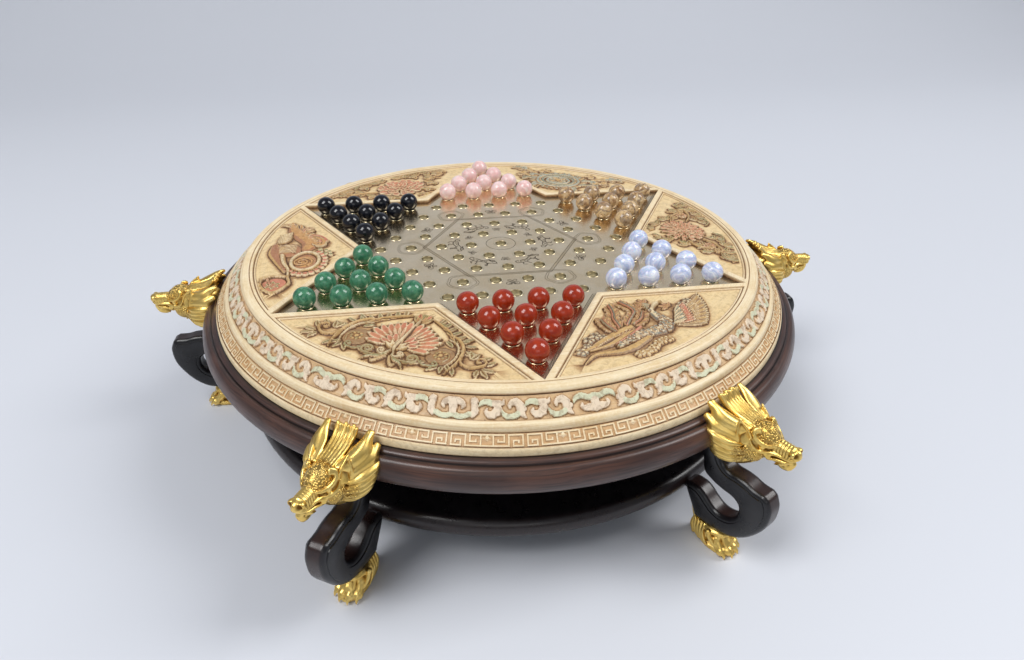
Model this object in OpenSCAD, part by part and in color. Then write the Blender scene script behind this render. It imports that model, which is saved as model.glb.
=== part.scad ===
// Chinese checkers board: a round carved top holds a star-shaped metal plate with 121 marble holes.
// A turned wooden rim carries it on six hooked legs, each with a gilt dragon head and claw foot,
// and a round shelf ties the legs together. Millimetres, +Z up, origin on the floor at the centre.

/* [Playing field] */
// Distance between neighbouring marble holes
pitch = 25; // [24:0.25:25]
// Diameter of a marble
marble_d = 16; // [14:0.5:17]
// How far a marble reaches below the plate's top
marble_sink = 1.1; // [0.8:0.1:1.6]
// Clearance between a marble and its hole
marble_gap = 0.3; // [0.2:0.1:0.6]
// Thickness of the star plate
plate_t = 4; // [3.5:0.5:5]

/* [Carved top] */
// Height from the wooden rim's top to the star plate's top
top_h = 28; // [26:1:32]
// Radius of the carved top at its foot
top_r = 229.5; // [228:0.5:231]
// Height of the carved dividers above the star plate
divider_h = 3.3; // [2:0.1:5]
// Depth of the panel fields below the dividers
field_depth = 2; // [1:0.5:3]
// Width of the flat divider between a panel and the star
divider_w = 7; // [5:0.5:10]
// Thickness of the wooden deck under the carved top
deck_t = 12; // [10:1:14]

/* [Wooden rim] */
// Widest radius of the rim
rim_r = 242; // [240:1:246]
// Height of the rim
rim_h = 24.5; // [22:0.5:27]
// Radius of the rim's open middle
rim_bore_r = 200; // [196:1:204]

/* [Stand] */
// Height from the floor to the rim's underside
stand_h = 87.5; // [87.5:0.5:92]
// Thickness of a leg
leg_t = 16; // [13:0.5:18]
// Radius of the shelf
shelf_r = 218; // [216:0.5:218.5]
// Thickness of the shelf
shelf_t = 15; // [13:1:16]
// Height of the shelf's underside above the floor
shelf_z = 27.5; // [26:0.5:28]

/* [Ornaments] */
// Distance from the centre to the tip of a dragon's snout
snout_reach = 287; // [282:1:290]
// Height of the foot under a leg
foot_h = 17.5; // [17.5:0.5:19]

/* [Hidden] */
$fn = 96;
SIDES = 6;
ROUND_FN = 240;
PLAY = 0.1;       // gap between a fastener or insert and its hole
CUT = 1;          // how far a cutting shape runs past a face
ARM_ROWS = 4;     // rows of marbles in one arm of the star

// Heights of the layers, from the floor up
rim_top = stand_h + rim_h;
deck_top = rim_top + deck_t;
plate_top = rim_top + top_h;
pocket_z = plate_top - plate_t;
divider_top = plate_top + divider_h;
marble_z = plate_top + marble_d / 2 - marble_sink;
rim_mid = stand_h + rim_h * 0.53;

// The star: six tips and six inner corners
tip_r = pitch * 7.94;
corner_r = tip_r / sqrt(3);
crest_r = tip_r + 5;
skirt_r = top_r - 17.5;

// Where a head ends above the leg, and half the width kept clear there
leg_r_out = 242;
leg_w = 30;

// Fasteners
screw_r = 2;
screw_head_h = 3;
dowel_r = 3;
stud_r = 2.5;
pin_l = 32;
deck_screw_r = rim_bore_r + 6;
top_screw_r = 170;
leg_screw_r = 234;
leg_screw_z = 63;
leg_screw_l = 41;
leg_dowel_r = 226.5;
foot_screw_r = 249;
foot_screw_z = 2;
foot_screw_l = 24;
stud_z = stand_h + 13;
stud_side = 8;

// The four marbles of each arm that are next to the middle are nodes of their own.
COLOURS = ["tan", "rose", "black", "green", "red", "lace"];
TINTS = ["tan", "pink", "#15151c", "mediumseagreen", "firebrick", "lightsteelblue"];
LEAD = 4;
function leg_name(k) = str("leg_", k + 1);
function head_name(k) = str("dragon_head_", k + 1);
function foot_name(k) = str("claw_foot_", k + 1);
function lead_name(k, j) = str(COLOURS[k], "_marble_", j + 1);
function home_name(k) = str(COLOURS[k], "_marbles_home");

// Points and outlines
function polar(r, a) = [r * cos(a), r * sin(a)];

// A smooth open curve through the points p, with n steps for each span
function spline(a, b, c, d, t) =
    0.5 * (2 * b + (c - a) * t + (2 * a - 5 * b + 4 * c - d) * pow(t, 2)
        + (3 * b - a - 3 * c + d) * pow(t, 3));
function curve(p, n = 5) = let (last = len(p) - 1) concat(
    [for (i = [0:last - 1]) for (s = [0:n - 1])
        spline(p[max(i - 1, 0)], p[i], p[i + 1], p[min(i + 2, last)], s / n)],
    [p[last]]
);

// The points p mirrored from right to left, last first
function other_side(p) = [for (i = [len(p) - 1:-1:0]) [-p[i][0], p[i][1]]];

// Every hole of the star: a six-pointed star is two large triangles of the same lattice.
HOLES = [for (a = [-8:8], b = [-8:8]) let (c = -a - b)
    if (max(a, b, c) <= 4 || min(a, b, c) >= -4) pitch * [a + b / 2, b * sqrt(3) / 2]];

// The marbles of arm k, row by row from the middle outwards
function arm_marbles(k) = [for (row = [1:ARM_ROWS]) for (j = [0:ARM_ROWS - row])
    let (out = pitch * (ARM_ROWS + row) * sqrt(3) / 2, side = pitch * (j - (ARM_ROWS - row) / 2),
         a = 30 + 60 * k)
    polar(out, a) + polar(side, a + 90)];

// Outline of the star, grown sideways by grow
function star_points(grow = 0) = [for (k = [0:SIDES - 1]) each [
    polar(corner_r + grow * 2 / sqrt(3), 60 * k), polar(tip_r + grow * 2, 60 * k + 30)]];

// The moulded side of the carved top, from its foot to its crest
TOP_SIDE = [
    [top_r, rim_top], [top_r, rim_top + 3], [top_r - 1.5, rim_top + 6],
    [top_r - 7.5, rim_top + 11.5], [top_r - 11, rim_top + 17.5],
    [top_r - 21.5, plate_top - 0.5], [top_r - 22, plate_top + 1.5],
    [top_r - 24, divider_top], [crest_r - 4, divider_top]
];

// The rim's round nose, with a bead and a groove above it
RIM_NOSE = [for (a = [-90:7.5:45]) [rim_r - 14 + 14 * cos(a), rim_mid + (rim_mid - stand_h) * sin(a)]];
RIM_BEAD = [[rim_r - 6, rim_top - 2.3], [rim_r - 8.5, rim_top - 0.8], [rim_r - 10, rim_top]];
RIM_SIDE = concat(RIM_NOSE, RIM_BEAD);

// A leg in the plane through the board's axis: distance from the axis, then height
LEG_TOP = [
    [240, stand_h], [240.5, 80], [244, 74.6], [249, 72], [256, 72.3], [262, 71.8], [268, 70.4], [275, 70.4]
];
LEG_KNEE = [[278.5, 68.5], [281.5, 62], [282, 55], [281, 47], [277, 38], [270, 28], [261, 21], [251, 18.2]];
LEG_SOLE = [[251, foot_h], [232, foot_h]];
LEG_INNER = [[230.8, 18.5], [227.5, 24.5], [223.5, 31], [220.5, 36.5], [219.5, 41]];
LEG_HOOK = [
    [222.5, 42.5], [229.5, 42.8], [235, 40.6], [240, 36.9], [245.5, 34], [251.5, 33.7], [257, 36.3],
    [260.4, 41], [261.3, 46.3], [259.8, 51.4], [255, 54.2], [247, 54.8], [239, 56.4],
    [232.5, 59.3], [229.8, 63.8]
];
LEG_ARM = [[229, 68], [227.5, 73], [224, 76.3], [222, 80], [222, stand_h]];
LEG_POINTS = concat(
    curve(LEG_TOP), curve(LEG_KNEE), LEG_SOLE, curve(LEG_INNER, 4), curve(LEG_HOOK, 4), curve(LEG_ARM, 4)
);

// Shapes that repeat
module round_each(count, start = 0) {
    for (k = [0:count - 1]) rotate(start + 360 / count * k) children();
}

module star_solid(grow, low, high) {
    translate([0, 0, low]) linear_extrude(high - low) polygon(star_points(grow));
}

module board_side(grow = 0) {
    rotate_extrude($fn = ROUND_FN)
        polygon(concat([[0, stand_h - CUT]], [for (p = RIM_SIDE) p + [grow, 0]], [[0, rim_top]]));
    rotate_extrude($fn = ROUND_FN)
        polygon(concat([[0, rim_top - CUT]], [for (p = TOP_SIDE) p + [grow, 0]], [[0, divider_top]]));
}

module shelf_side(grow = 0) {
    mid = shelf_z + shelf_t * 0.4;
    rotate_extrude($fn = ROUND_FN) polygon(concat(
        [[0, shelf_z - grow]],
        curve([[shelf_r - 8, shelf_z - grow], [shelf_r - 2, shelf_z + 2 - grow], [shelf_r + grow, mid],
               [shelf_r - 3, shelf_z + shelf_t * 0.8 + grow], [shelf_r - 9, shelf_z + shelf_t + grow]]),
        [[0, shelf_z + shelf_t + grow]]
    ));
}

// One panel field between two arms of the star, as a flat shape
module field_outline() {
    inner = corner_r + divider_w * 2 / sqrt(3);
    intersection() {
        circle(r = tip_r - 3, $fn = ROUND_FN);
        polygon([
            [inner, 0], [inner, 0] + polar(tip_r, 60), polar(tip_r * 1.5, 0), [inner, 0] + polar(tip_r, -60)
        ]);
    }
}

// Fasteners, as they lie. A spare above zero makes the hole for one.
module deck_screw(spare = 0) {
    translate([deck_screw_r, 0, stand_h]) {
        cylinder(r = screw_r + spare, h = rim_h + 8 + spare);
        cylinder(r = screw_r * 2 + spare, h = screw_head_h + spare);
    }
}

module top_screw(spare = 0) {
    translate([top_screw_r, 0, rim_top]) {
        cylinder(r = screw_r + spare, h = deck_t + 9 + spare);
        cylinder(r = screw_r * 2 + spare, h = screw_head_h + spare);
    }
}

module leg_screw(spare = 0) {
    // The hole is open down to the hook, so that the screw can be driven from there.
    access = spare > 0 ? 10 : 0;
    translate([leg_screw_r, 0, leg_screw_z]) {
        cylinder(r = screw_r + spare, h = leg_screw_l + spare);
        translate([0, 0, -access]) cylinder(r = screw_r * 2 + spare, h = screw_head_h + access + spare);
    }
}

module leg_dowel(spare = 0) {
    translate([leg_dowel_r, 0, stand_h - 10 - spare]) cylinder(r = dowel_r + spare, h = 22 + 2 * spare);
}

module shelf_dowel(spare = 0) {
    translate([shelf_r - 18 - spare, 0, shelf_z + 7]) rotate([0, 90, 0])
        cylinder(r = dowel_r + spare, h = pin_l + 2 * spare);
}

module head_studs_pair(spare = 0) {
    for (side = [-1, 1]) translate([rim_r - 18 - spare, side * stud_side, stud_z]) rotate([0, 90, 0])
        cylinder(r = stud_r + spare, h = pin_l + 2 * spare);
}

module foot_screw(spare = 0) {
    // The hole is open down to the floor, so that the screw can be driven from below.
    access = spare > 0 ? foot_screw_z + CUT : 0;
    translate([foot_screw_r, 0, foot_screw_z]) {
        cylinder(r = screw_r + spare, h = foot_screw_l + spare);
        translate([0, 0, -access]) cylinder(r = screw_r * 2 + spare, h = screw_head_h + access + spare);
    }
}

// The carved frame: a cast disc with a skirt, a pocket for the star plate and six sunk fields
module carved_top() {
    color("wheat") difference() {
        rotate_extrude($fn = ROUND_FN) polygon(concat(
            [[0, deck_top], [skirt_r, deck_top], [skirt_r, rim_top]], TOP_SIDE, [[0, divider_top]]));
        star_solid(0, pocket_z, divider_top + CUT);
        round_each(SIDES) translate([0, 0, divider_top - field_depth])
            linear_extrude(field_depth + CUT) field_outline();
        round_each(SIDES) top_screw(PLAY);
    }
}

// The metal star, with a round dish for each marble
module star_plate() {
    color("darkkhaki") difference() {
        star_solid(-PLAY * 2, pocket_z, plate_top);
        for (p = HOLES) translate([p[0], p[1], marble_z]) sphere(r = marble_d / 2 + marble_gap, $fn = 48);
    }
}

// The wooden board that closes the carved top from below
module deck() {
    color("saddlebrown") difference() {
        translate([0, 0, rim_top]) cylinder(r = skirt_r - PLAY, h = deck_t, $fn = ROUND_FN);
        round_each(12, 15) deck_screw(PLAY);
        round_each(SIDES) top_screw(PLAY);
    }
}

module wood_rim() {
    color("#4a2f2a") difference() {
        rotate_extrude($fn = ROUND_FN)
            polygon(concat([[rim_bore_r, stand_h]], RIM_SIDE, [[rim_bore_r, rim_top]]));
        round_each(12, 15) deck_screw(PLAY);
        round_each(SIDES) {
            leg_screw(PLAY);
            leg_dowel(PLAY);
            head_studs_pair(PLAY);
        }
    }
}

module lower_shelf() {
    color("#1b1716") difference() {
        shelf_side();
        round_each(SIDES) shelf_dowel(PLAY);
    }
}

// A hooked leg: an arm under the rim, a round knee, and a branch back to the shelf
module leg(k) {
    color("#241a18") rotate(60 * k) difference() {
        rotate([90, 0, 0]) linear_extrude(leg_t, center = true) polygon(LEG_POINTS);
        shelf_side(PLAY);
        leg_screw(PLAY);
        leg_dowel(PLAY);
        shelf_dowel(PLAY);
        foot_screw(PLAY);
    }
}

// A dragon's head that looks outwards over the rim, with a fan of mane behind it
module dragon_head(k) {
    snout_r = 8.5;
    mane_back = 228;
    mane_t = 17;
    mane_side = [[5, 116], [12, 121.5], [16, 116], [19.5, 106], [17, 96], [11.5, 88.5]];
    mane = concat([[0, 122]], mane_side, other_side(mane_side));
    color("goldenrod") rotate(60 * k) difference() {
        union() {
            translate([mane_back, 0, 0]) rotate([90, 0, 90]) linear_extrude(mane_t) polygon(mane);
            translate([255, 0, stand_h + 14]) sphere(r = 15.5);
            translate([251, 0, stand_h + 6.5]) sphere(r = 13.5);
            translate([262, 0, stand_h + 15.5]) rotate([0, 90, 0]) cylinder(r1 = 13, r2 = snout_r, h = 16);
            translate([snout_reach - snout_r, 0, stand_h + 18.5]) sphere(r = snout_r);
            for (side = [-1, 1]) {
                // An ear and an eye
                translate([248, side * 8, stand_h + 24.5]) rotate([side * -12, -30, 0])
                    cylinder(r1 = 5, r2 = 1.5, h = 10);
                translate([262, side * 7, stand_h + 25.5]) sphere(r = 4.5);
            }
        }
        board_side(PLAY);
        translate([leg_r_out - 42, -leg_w, 0]) cube([42, 2 * leg_w, stand_h + PLAY]);
        head_studs_pair(PLAY);
        leg_screw(PLAY);
    }
}

// A claw foot: an ankle under the leg, four toes with claws, and a spur behind
module claw_foot(k) {
    toe_r = 4;
    toe_l = 18;
    ankle = [[231, 5.5], [236, 9], [244, 10], [250, 10], [256, 8.5]];
    color("goldenrod") rotate(60 * k) difference() {
        union() {
            linear_extrude(foot_h) polygon(concat(curve(ankle), [for (p = other_side(curve(ankle))) -p]));
            for (a = [-15, -5, 5, 15]) translate([243, a / 4, toe_r * 0.9]) rotate(a) {
                rotate([0, 90, 0]) cylinder(r = toe_r, h = toe_l);
                translate([toe_l, 0, 0]) sphere(r = toe_r);
                translate([toe_l, 0, -1]) rotate([0, 105, 0]) cylinder(r1 = toe_r / 2, r2 = 0.6, h = 6);
            }
            translate([227, -4, 0]) cube([8, 8, foot_h - 6]);
        }
        translate([220, -leg_w, -CUT - toe_r * 2]) cube([60, 2 * leg_w, CUT + toe_r * 2]);
        foot_screw(PLAY);
    }
}

// Marbles, each in its own hole
module marble(p, tint) {
    color(tint) translate([p[0], p[1], marble_z]) sphere(r = marble_d / 2, $fn = 64);
}

module lead_marble(k, j) {
    marble(arm_marbles(k)[j], TINTS[k]);
}

module home_marbles(k) {
    places = arm_marbles(k);
    for (i = [LEAD:len(places) - 1]) marble(places[i], TINTS[k]);
}

carved_top();
star_plate();
deck();
wood_rim();
lower_shelf();
for (k = [0:SIDES - 1]) leg(k);
for (k = [0:SIDES - 1]) dragon_head(k);
for (k = [0:SIDES - 1]) claw_foot(k);
color("silver") round_each(12, 15) deck_screw();  // deck_screws
color("silver") round_each(SIDES) top_screw();  // top_screws
color("silver") round_each(SIDES) leg_screw();  // leg_screws
color("burlywood") round_each(SIDES) leg_dowel();  // leg_dowels
color("burlywood") round_each(SIDES) shelf_dowel();  // shelf_dowels
color("silver") round_each(SIDES) head_studs_pair();  // head_studs
color("silver") round_each(SIDES) foot_screw();  // foot_screws
for (k = [0:SIDES - 1], j = [0:LEAD - 1]) lead_marble(k, j);
for (k = [0:SIDES - 1]) home_marbles(k);
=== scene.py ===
"""Looks for a chinese checkers board: carved resin top, metal star, stone marbles, hooked legs, gilt dragons.

Shapes are worked out in millimetres, in the frame's own axes, and become metres in build().
"""
import math
import random

import bmesh
import bpy
import numpy as np
from mathutils import Euler, Matrix, Vector


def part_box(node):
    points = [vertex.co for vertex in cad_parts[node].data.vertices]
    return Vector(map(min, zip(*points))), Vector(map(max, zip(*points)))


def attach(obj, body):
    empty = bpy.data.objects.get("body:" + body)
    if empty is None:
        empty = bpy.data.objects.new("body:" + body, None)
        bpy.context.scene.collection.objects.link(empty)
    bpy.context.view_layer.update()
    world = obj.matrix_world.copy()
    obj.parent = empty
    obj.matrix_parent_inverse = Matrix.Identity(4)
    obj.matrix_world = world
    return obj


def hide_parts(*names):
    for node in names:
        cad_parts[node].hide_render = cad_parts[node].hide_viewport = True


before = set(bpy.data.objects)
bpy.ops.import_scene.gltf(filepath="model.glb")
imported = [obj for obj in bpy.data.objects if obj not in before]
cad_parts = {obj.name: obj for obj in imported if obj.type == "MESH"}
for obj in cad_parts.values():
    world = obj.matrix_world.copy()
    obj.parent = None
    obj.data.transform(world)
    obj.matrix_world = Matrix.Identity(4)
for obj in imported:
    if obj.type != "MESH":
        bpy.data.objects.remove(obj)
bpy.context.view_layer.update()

MM = 0.001
SIDES = 6
ROOT = "board"


def low(node):
    """The lowest corner of a CAD node's box."""
    return np.array(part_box(node)[0]) / MM


def high(node):
    """The highest corner of a CAD node's box."""
    return np.array(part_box(node)[1]) / MM


# Driving dimensions, from the frame
TOP_R = high("carved_top")[0]
DIVIDER_Z = high("carved_top")[2]
PLATE_Z = high("star_plate")[2]
POCKET_Z = low("star_plate")[2]
RIM_R = high("wood_rim")[0]
RIM_TOP = high("wood_rim")[2]
RIM_LOW = low("wood_rim")[2]
DECK_TOP = high("deck")[2]
DECK_R = high("deck")[0]
SHELF_R = high("lower_shelf")[0]
SHELF_LOW = low("lower_shelf")[2]
SHELF_TOP = high("lower_shelf")[2]
LEG_HALF = high("leg_1")[1]
SNOUT_REACH = high("dragon_head_1")[0]
FOOT_TOP = 17.5      # where the sole of the leg meets the foot
MARBLE_R = (high("red_marble_1")[2] - low("red_marble_1")[2]) / 2
MARBLE_Z = high("red_marble_1")[2] - MARBLE_R
PITCH = np.linalg.norm(high("red_marble_1") - high("red_marble_2"))
TIP_R = PITCH * 7.94     # radius of the star's six points
CORNER_R = TIP_R / math.sqrt(3)     # radius of its six inner corners
COLOURS = ["tan", "rose", "black", "green", "red", "lace"]      # of sides 0 to 5
LEAD = 4             # marbles in an arm's inner row; the rows behind have 3, 2 and 1
ROUND = 720          # steps round the board's turned shapes


def polar(radius, degrees):
    """The point of the plane at a radius and an angle."""
    a = math.radians(degrees)
    return np.array([radius * math.cos(a), radius * math.sin(a)])


def blend(a, b, t):
    return a + (b - a) * t


def ease(x, low_end, high_end):
    """From 0 at the low end to 1 at the high end, with a soft start and stop."""
    t = np.clip((x - low_end) / (high_end - low_end), 0, 1)
    return t * t * (3 - 2 * t)


def spread(values, count):
    """The values spread evenly over a number of points, with straight steps between them."""
    return np.interp(np.linspace(0, 1, count), np.linspace(0, 1, len(values)), values)


def side_turn(k):
    """The rotation about Z that carries side 0 of the board to side k."""
    return np.array(Matrix.Rotation(math.radians(60 * k), 3, "Z"))


def heading_of(step):
    """The direction of a step in the plane, in degrees."""
    return math.degrees(math.atan2(step[1], step[0]))


def smooth_line(points, steps=6):
    """A smooth curve through the points, in any number of dimensions."""
    p = np.asarray(points, float)
    p = np.vstack([2 * p[0] - p[1], p, 2 * p[-1] - p[-2]])
    t = np.linspace(0, 1, steps, endpoint=False)[:, None]
    spans = []
    for a, b, c, d in zip(p, p[1:], p[2:], p[3:]):
        spans.append(0.5 * (2 * b + (c - a) * t + (2 * a - 5 * b + 4 * c - d) * t ** 2
                            + (3 * b - a - 3 * c + d) * t ** 3))
    return np.vstack(spans + [p[-2:-1]])


# ---------------------------------------------------------------- meshes

class Form:
    """Faces collected for one mesh, in millimetres, with a shade and a tint for every vertex.

    Shade runs from 0, none, to 1, the darkest hollow: painted shade in hollows, grooves and gaps, which on
    the resin and the gilt also stands for their brown antique staining, and on the lacquer marks its brown
    edges. Tint is a colour and how much of it there is.
    """

    def __init__(self):
        self.co, self.shade, self.tint, self.faces, self.count = [], [], [], [], 0

    def add(self, co, faces, shade=0.0, tint=(0, 0, 0, 0)):
        co = np.asarray(co, float).reshape(-1, 3)
        n = len(co)
        self.co.append(co)
        self.shade.append(np.zeros(n) + np.reshape(shade, -1))
        self.tint.append(np.zeros((n, 4)) + np.reshape(tint, (-1, 4)))
        for block in faces:
            self.faces.append(np.asarray(block, int) + self.count)
        self.count += n

    def turn(self, profile, steps=ROUND, tint=(0, 0, 0, 0)):
        """Adds a shape turned about Z from a profile of (radius, height, shade)."""
        co = turned([p[:2] for p in profile], steps)
        shade = np.tile([p[2] for p in profile], steps)
        self.add(co, [grid_faces(steps, len(profile), True)], shade, tint)

    def build(self, name, material, merge=0.0, sharp=40):
        """The mesh as an object. Points closer than merge become one; edges over sharp degrees stay crisp."""
        co = np.vstack(self.co) * MM
        sizes = np.concatenate([np.full(len(f), f.shape[1]) for f in self.faces])
        corners = np.concatenate([f.reshape(-1) for f in self.faces])
        mesh = bpy.data.meshes.new(name)
        mesh.vertices.add(len(co))
        mesh.vertices.foreach_set("co", co.reshape(-1))
        mesh.loops.add(len(corners))
        mesh.loops.foreach_set("vertex_index", corners)
        mesh.polygons.add(len(sizes))
        mesh.polygons.foreach_set("loop_start", np.concatenate([[0], np.cumsum(sizes)[:-1]]))
        mesh.update(calc_edges=True)
        shade = mesh.attributes.new("shade", "FLOAT", "POINT")
        shade.data.foreach_set("value", np.concatenate(self.shade))
        tint = mesh.attributes.new("tint", "FLOAT_COLOR", "POINT")
        tint.data.foreach_set("color", np.vstack(self.tint).reshape(-1))
        if merge:
            bm = bmesh.new()
            bm.from_mesh(mesh)
            bmesh.ops.remove_doubles(bm, verts=bm.verts, dist=merge * MM)
            bmesh.ops.dissolve_degenerate(bm, edges=bm.edges, dist=merge * MM / 4)
            bm.to_mesh(mesh)
            bm.free()
        mesh.shade_smooth()
        mesh.set_sharp_from_angle(angle=math.radians(sharp))
        mesh.materials.append(material)
        piece = bpy.data.objects.new(name, mesh)
        bpy.context.scene.collection.objects.link(piece)
        return piece


def grid_faces(rows, columns, closed=False):
    """Quads over rows x columns points. They face up where rows run round and columns run outwards."""
    i = np.arange(rows if closed else rows - 1)[:, None]
    j = np.arange(columns - 1)[None, :]
    a, b = i * columns + j, ((i + 1) % rows) * columns + j
    return np.stack([a, a + 1, b + 1, b], -1).reshape(-1, 4)


def bar_faces(rings, sides):
    """Faces of a closed bar, made of rings of points one after another: its walls and its two ends."""
    i, j = np.arange(rings - 1)[:, None] * sides, np.arange(sides)[None, :]
    k = (j + 1) % sides
    walls = np.stack([i + j, i + k, i + sides + k, i + sides + j], -1).reshape(-1, 4)
    ends = np.array([np.arange(sides)[::-1], np.arange(sides) + (rings - 1) * sides])
    return [walls, ends]


def wrapped(angle, profile):
    """Points round Z, one profile of (radius, height) for every angle."""
    return np.stack([np.cos(angle)[:, None] * profile[..., 0], np.sin(angle)[:, None] * profile[..., 0],
                     profile[..., 1]], -1)


def turned(profile, steps):
    """Points of a shape turned about Z from a profile of (radius, height)."""
    angle = np.arange(steps) * 2 * math.pi / steps
    return wrapped(angle, np.broadcast_to(np.asarray(profile, float), (steps, len(profile), 2)))


def fill(loops, z):
    """Triangles of the flat region bounded by an outer loop and any holes, facing up."""
    bm = bmesh.new()
    for loop in loops:
        verts = [bm.verts.new((x, y, 0)) for x, y in loop]
        for a, b in zip(verts, verts[1:] + verts[:1]):
            bm.edges.new((a, b))
    bmesh.ops.triangle_fill(bm, edges=bm.edges, use_beauty=True, normal=(0, 0, 1))
    bm.verts.index_update()
    co = np.array([v.co for v in bm.verts])
    co[:, 2] = z
    faces = np.array([[v.index for v in f.verts] for f in bm.faces if len(f.verts) == 3])
    bm.free()
    a, b, c = (co[faces[:, k]] for k in range(3))
    turn = np.cross(b - a, c - a)[:, 2] < 0
    faces[turn] = faces[turn][:, ::-1]
    return co, faces


def place(piece, slot, *nodes, body=ROOT):
    """Hides the CAD nodes that a piece stands for, and makes the piece ride on a body."""
    if nodes:
        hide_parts(*nodes)
    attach(piece, body)
    return piece


# ---------------------------------------------------------------- materials

class Shader:
    """A procedural material: one Principled shader and the nodes that feed it."""

    def __init__(self, name, **sockets):
        self.material = bpy.data.materials.new(name)
        self.material.use_nodes = True
        self.tree = self.material.node_tree
        self.main = self.tree.nodes["Principled BSDF"]
        for socket, value in sockets.items():
            self.set(self.main, socket.replace("_", " "), value)

    def set(self, node, socket, value):
        if isinstance(value, bpy.types.NodeSocket):
            self.tree.links.new(value, node.inputs[socket])
        elif isinstance(value, tuple) and len(value) == 3 and node.inputs[socket].type == "RGBA":
            node.inputs[socket].default_value = (*value, 1)
        else:
            node.inputs[socket].default_value = value

    def node(self, kind, inputs, output=0, **settings):
        n = self.tree.nodes.new("ShaderNode" + kind)
        for key, value in settings.items():
            setattr(n, key, value)
        for socket, value in inputs.items():
            self.set(n, socket, value)
        return n.outputs[output]

    def place(self, stretch=(1, 1, 1)):
        """Position in millimetres, stretched."""
        point = self.node("TexCoord", {}, "Object")
        return self.node("Mapping", {"Vector": point, "Scale": tuple(s / MM for s in stretch)})

    def around(self, radial, upward, drift):
        """Position as radius and height, drifting slowly, so that a pattern runs in rings round the board."""
        at = self.place()
        split = self.tree.nodes.new("ShaderNodeSeparateXYZ")
        self.set(split, "Vector", at)
        x, y, z = split.outputs
        square = self.maths("ADD", self.maths("MULTIPLY", x, x), self.maths("MULTIPLY", y, y))
        radius = self.maths("MULTIPLY", self.maths("SQRT", square), radial)
        ring = self.node("CombineXYZ", {"X": radius, "Y": self.maths("MULTIPLY", z, upward)})
        wander = self.noise(at, 0.014, 2, 0.5, 0, "Color")
        slow = self.node("VectorMath", {0: wander, "Scale": drift}, operation="SCALE")
        return self.node("VectorMath", {0: ring, 1: slow}, operation="ADD")

    def attribute(self, name, output="Fac"):
        return self.node("Attribute", {}, output, attribute_name=name)

    def noise(self, at, scale, detail=3.0, rough=0.5, warp=0.0, output="Fac"):
        return self.node("TexNoise", {"Vector": at, "Scale": scale, "Detail": detail, "Roughness": rough,
                                      "Distortion": warp}, output)

    def cells(self, at, scale):
        return self.node("TexVoronoi", {"Vector": at, "Scale": scale}, "Distance")

    def bands(self, at, scale, warp, detail, detail_scale):
        """Wavy bands across a stone."""
        return self.node("TexWave", {"Vector": at, "Scale": scale, "Distortion": warp, "Detail": detail,
                                     "Detail Scale": detail_scale}, "Fac", bands_direction="Z")

    def maths(self, what, a, b=0.0, clamp=False):
        return self.node("Math", {0: a, 1: b}, operation=what, use_clamp=clamp)

    def steps(self, value, a, b, to_a=0.0, to_b=1.0):
        return self.node("MapRange", {"Value": value, "From Min": a, "From Max": b,
                                      "To Min": to_a, "To Max": to_b}, interpolation_type="SMOOTHSTEP")

    def mix(self, amount, a, b):
        n = self.tree.nodes.new("ShaderNodeMix")
        n.data_type = "RGBA"
        self.set(n, 0, amount)
        self.set(n, 6, a)
        self.set(n, 7, b)
        return n.outputs[2]

    def layers(self, base, *layers):
        """Colours laid over a base, each (colour, field, from, to) and how much of it there is at both."""
        for colour, field, *span in layers:
            base = self.mix(self.steps(field, *span), base, colour)
        return base

    def bump(self, height, strength, depth, normal=None):
        inputs = {"Height": height, "Strength": strength, "Distance": depth * MM}
        if normal is not None:
            inputs["Normal"] = normal
        return self.node("Bump", inputs)

    def finish(self, **sockets):
        for socket, value in sockets.items():
            self.set(self.main, socket.replace("_", " "), value)
        return self.material


def rgb(red, green, blue):
    """A display colour from 0 to 255 as a linear one."""
    def linear(c):
        c /= 255
        return c / 12.92 if c <= 0.04045 else ((c + 0.055) / 1.055) ** 2.4

    return (linear(red), linear(green), linear(blue))


CREAM = rgb(230, 210, 170)
IVORY = rgb(242, 228, 200)
UMBER = rgb(84, 52, 28)
SEPIA = rgb(160, 114, 68)
FIELD_STAIN = (*rgb(224, 194, 136), 0.6)
HEM_PAINT = (*rgb(255, 232, 186), 0.4)


def resin_material():
    """Cast resin the colour of old ivory, painted here and there, and brown in its hollows with its antique
    staining and painted shade.
    """
    s = Shader("carved_resin", Roughness=0.42, IOR=1.5)
    at = s.place()
    cloud = s.noise(at, 0.035, 4, 0.55)
    fine = s.noise(at, 0.5, 5, 0.65)
    streak = s.noise(s.around(0.9, 0.9, 5.0), 1.0, 5, 0.65, 0.4)
    base = s.layers(CREAM, (rgb(222, 196, 150), cloud, 0.35, 0.68), (IVORY, fine, 0.42, 0.66, 0, 0.4),
                    (rgb(186, 142, 92), streak, 0.52, 0.7, 0, 0.36), (IVORY, streak, 0.5, 0.36, 0, 0.5))
    tint = s.attribute("tint", "Color")
    cover = s.attribute("tint", "Alpha")
    worn = s.maths("MULTIPLY", cover, s.steps(fine, 0.25, 0.5, 0.65, 1.0))
    base = s.mix(worn, base, tint)
    grime = s.noise(at, 0.28, 5, 0.7, 0.6)
    base = s.mix(s.maths("MULTIPLY", cover, s.steps(grime, 0.44, 0.66, 0, 0.5)), base, rgb(120, 84, 46))
    # Painted shade and antique staining from the shade attribute: sepia in hollows, umber in the deepest,
    # broken up by noise
    shade_and_stain = s.maths("MULTIPLY", s.attribute("shade"), s.steps(fine, 0.2, 0.8, 0.75, 1.3), True)
    base = s.layers(base, (SEPIA, shade_and_stain, 0.02, 0.6, 0, 0.75), (UMBER, shade_and_stain, 0.35, 1.0, 0, 0.92))
    grain = s.noise(at, 1.3, 4, 0.7)
    return s.finish(Base_Color=base, Roughness=s.steps(fine, 0.3, 0.7, 0.38, 0.55),
                    Normal=s.bump(grain, 0.25, 0.25))


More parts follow.
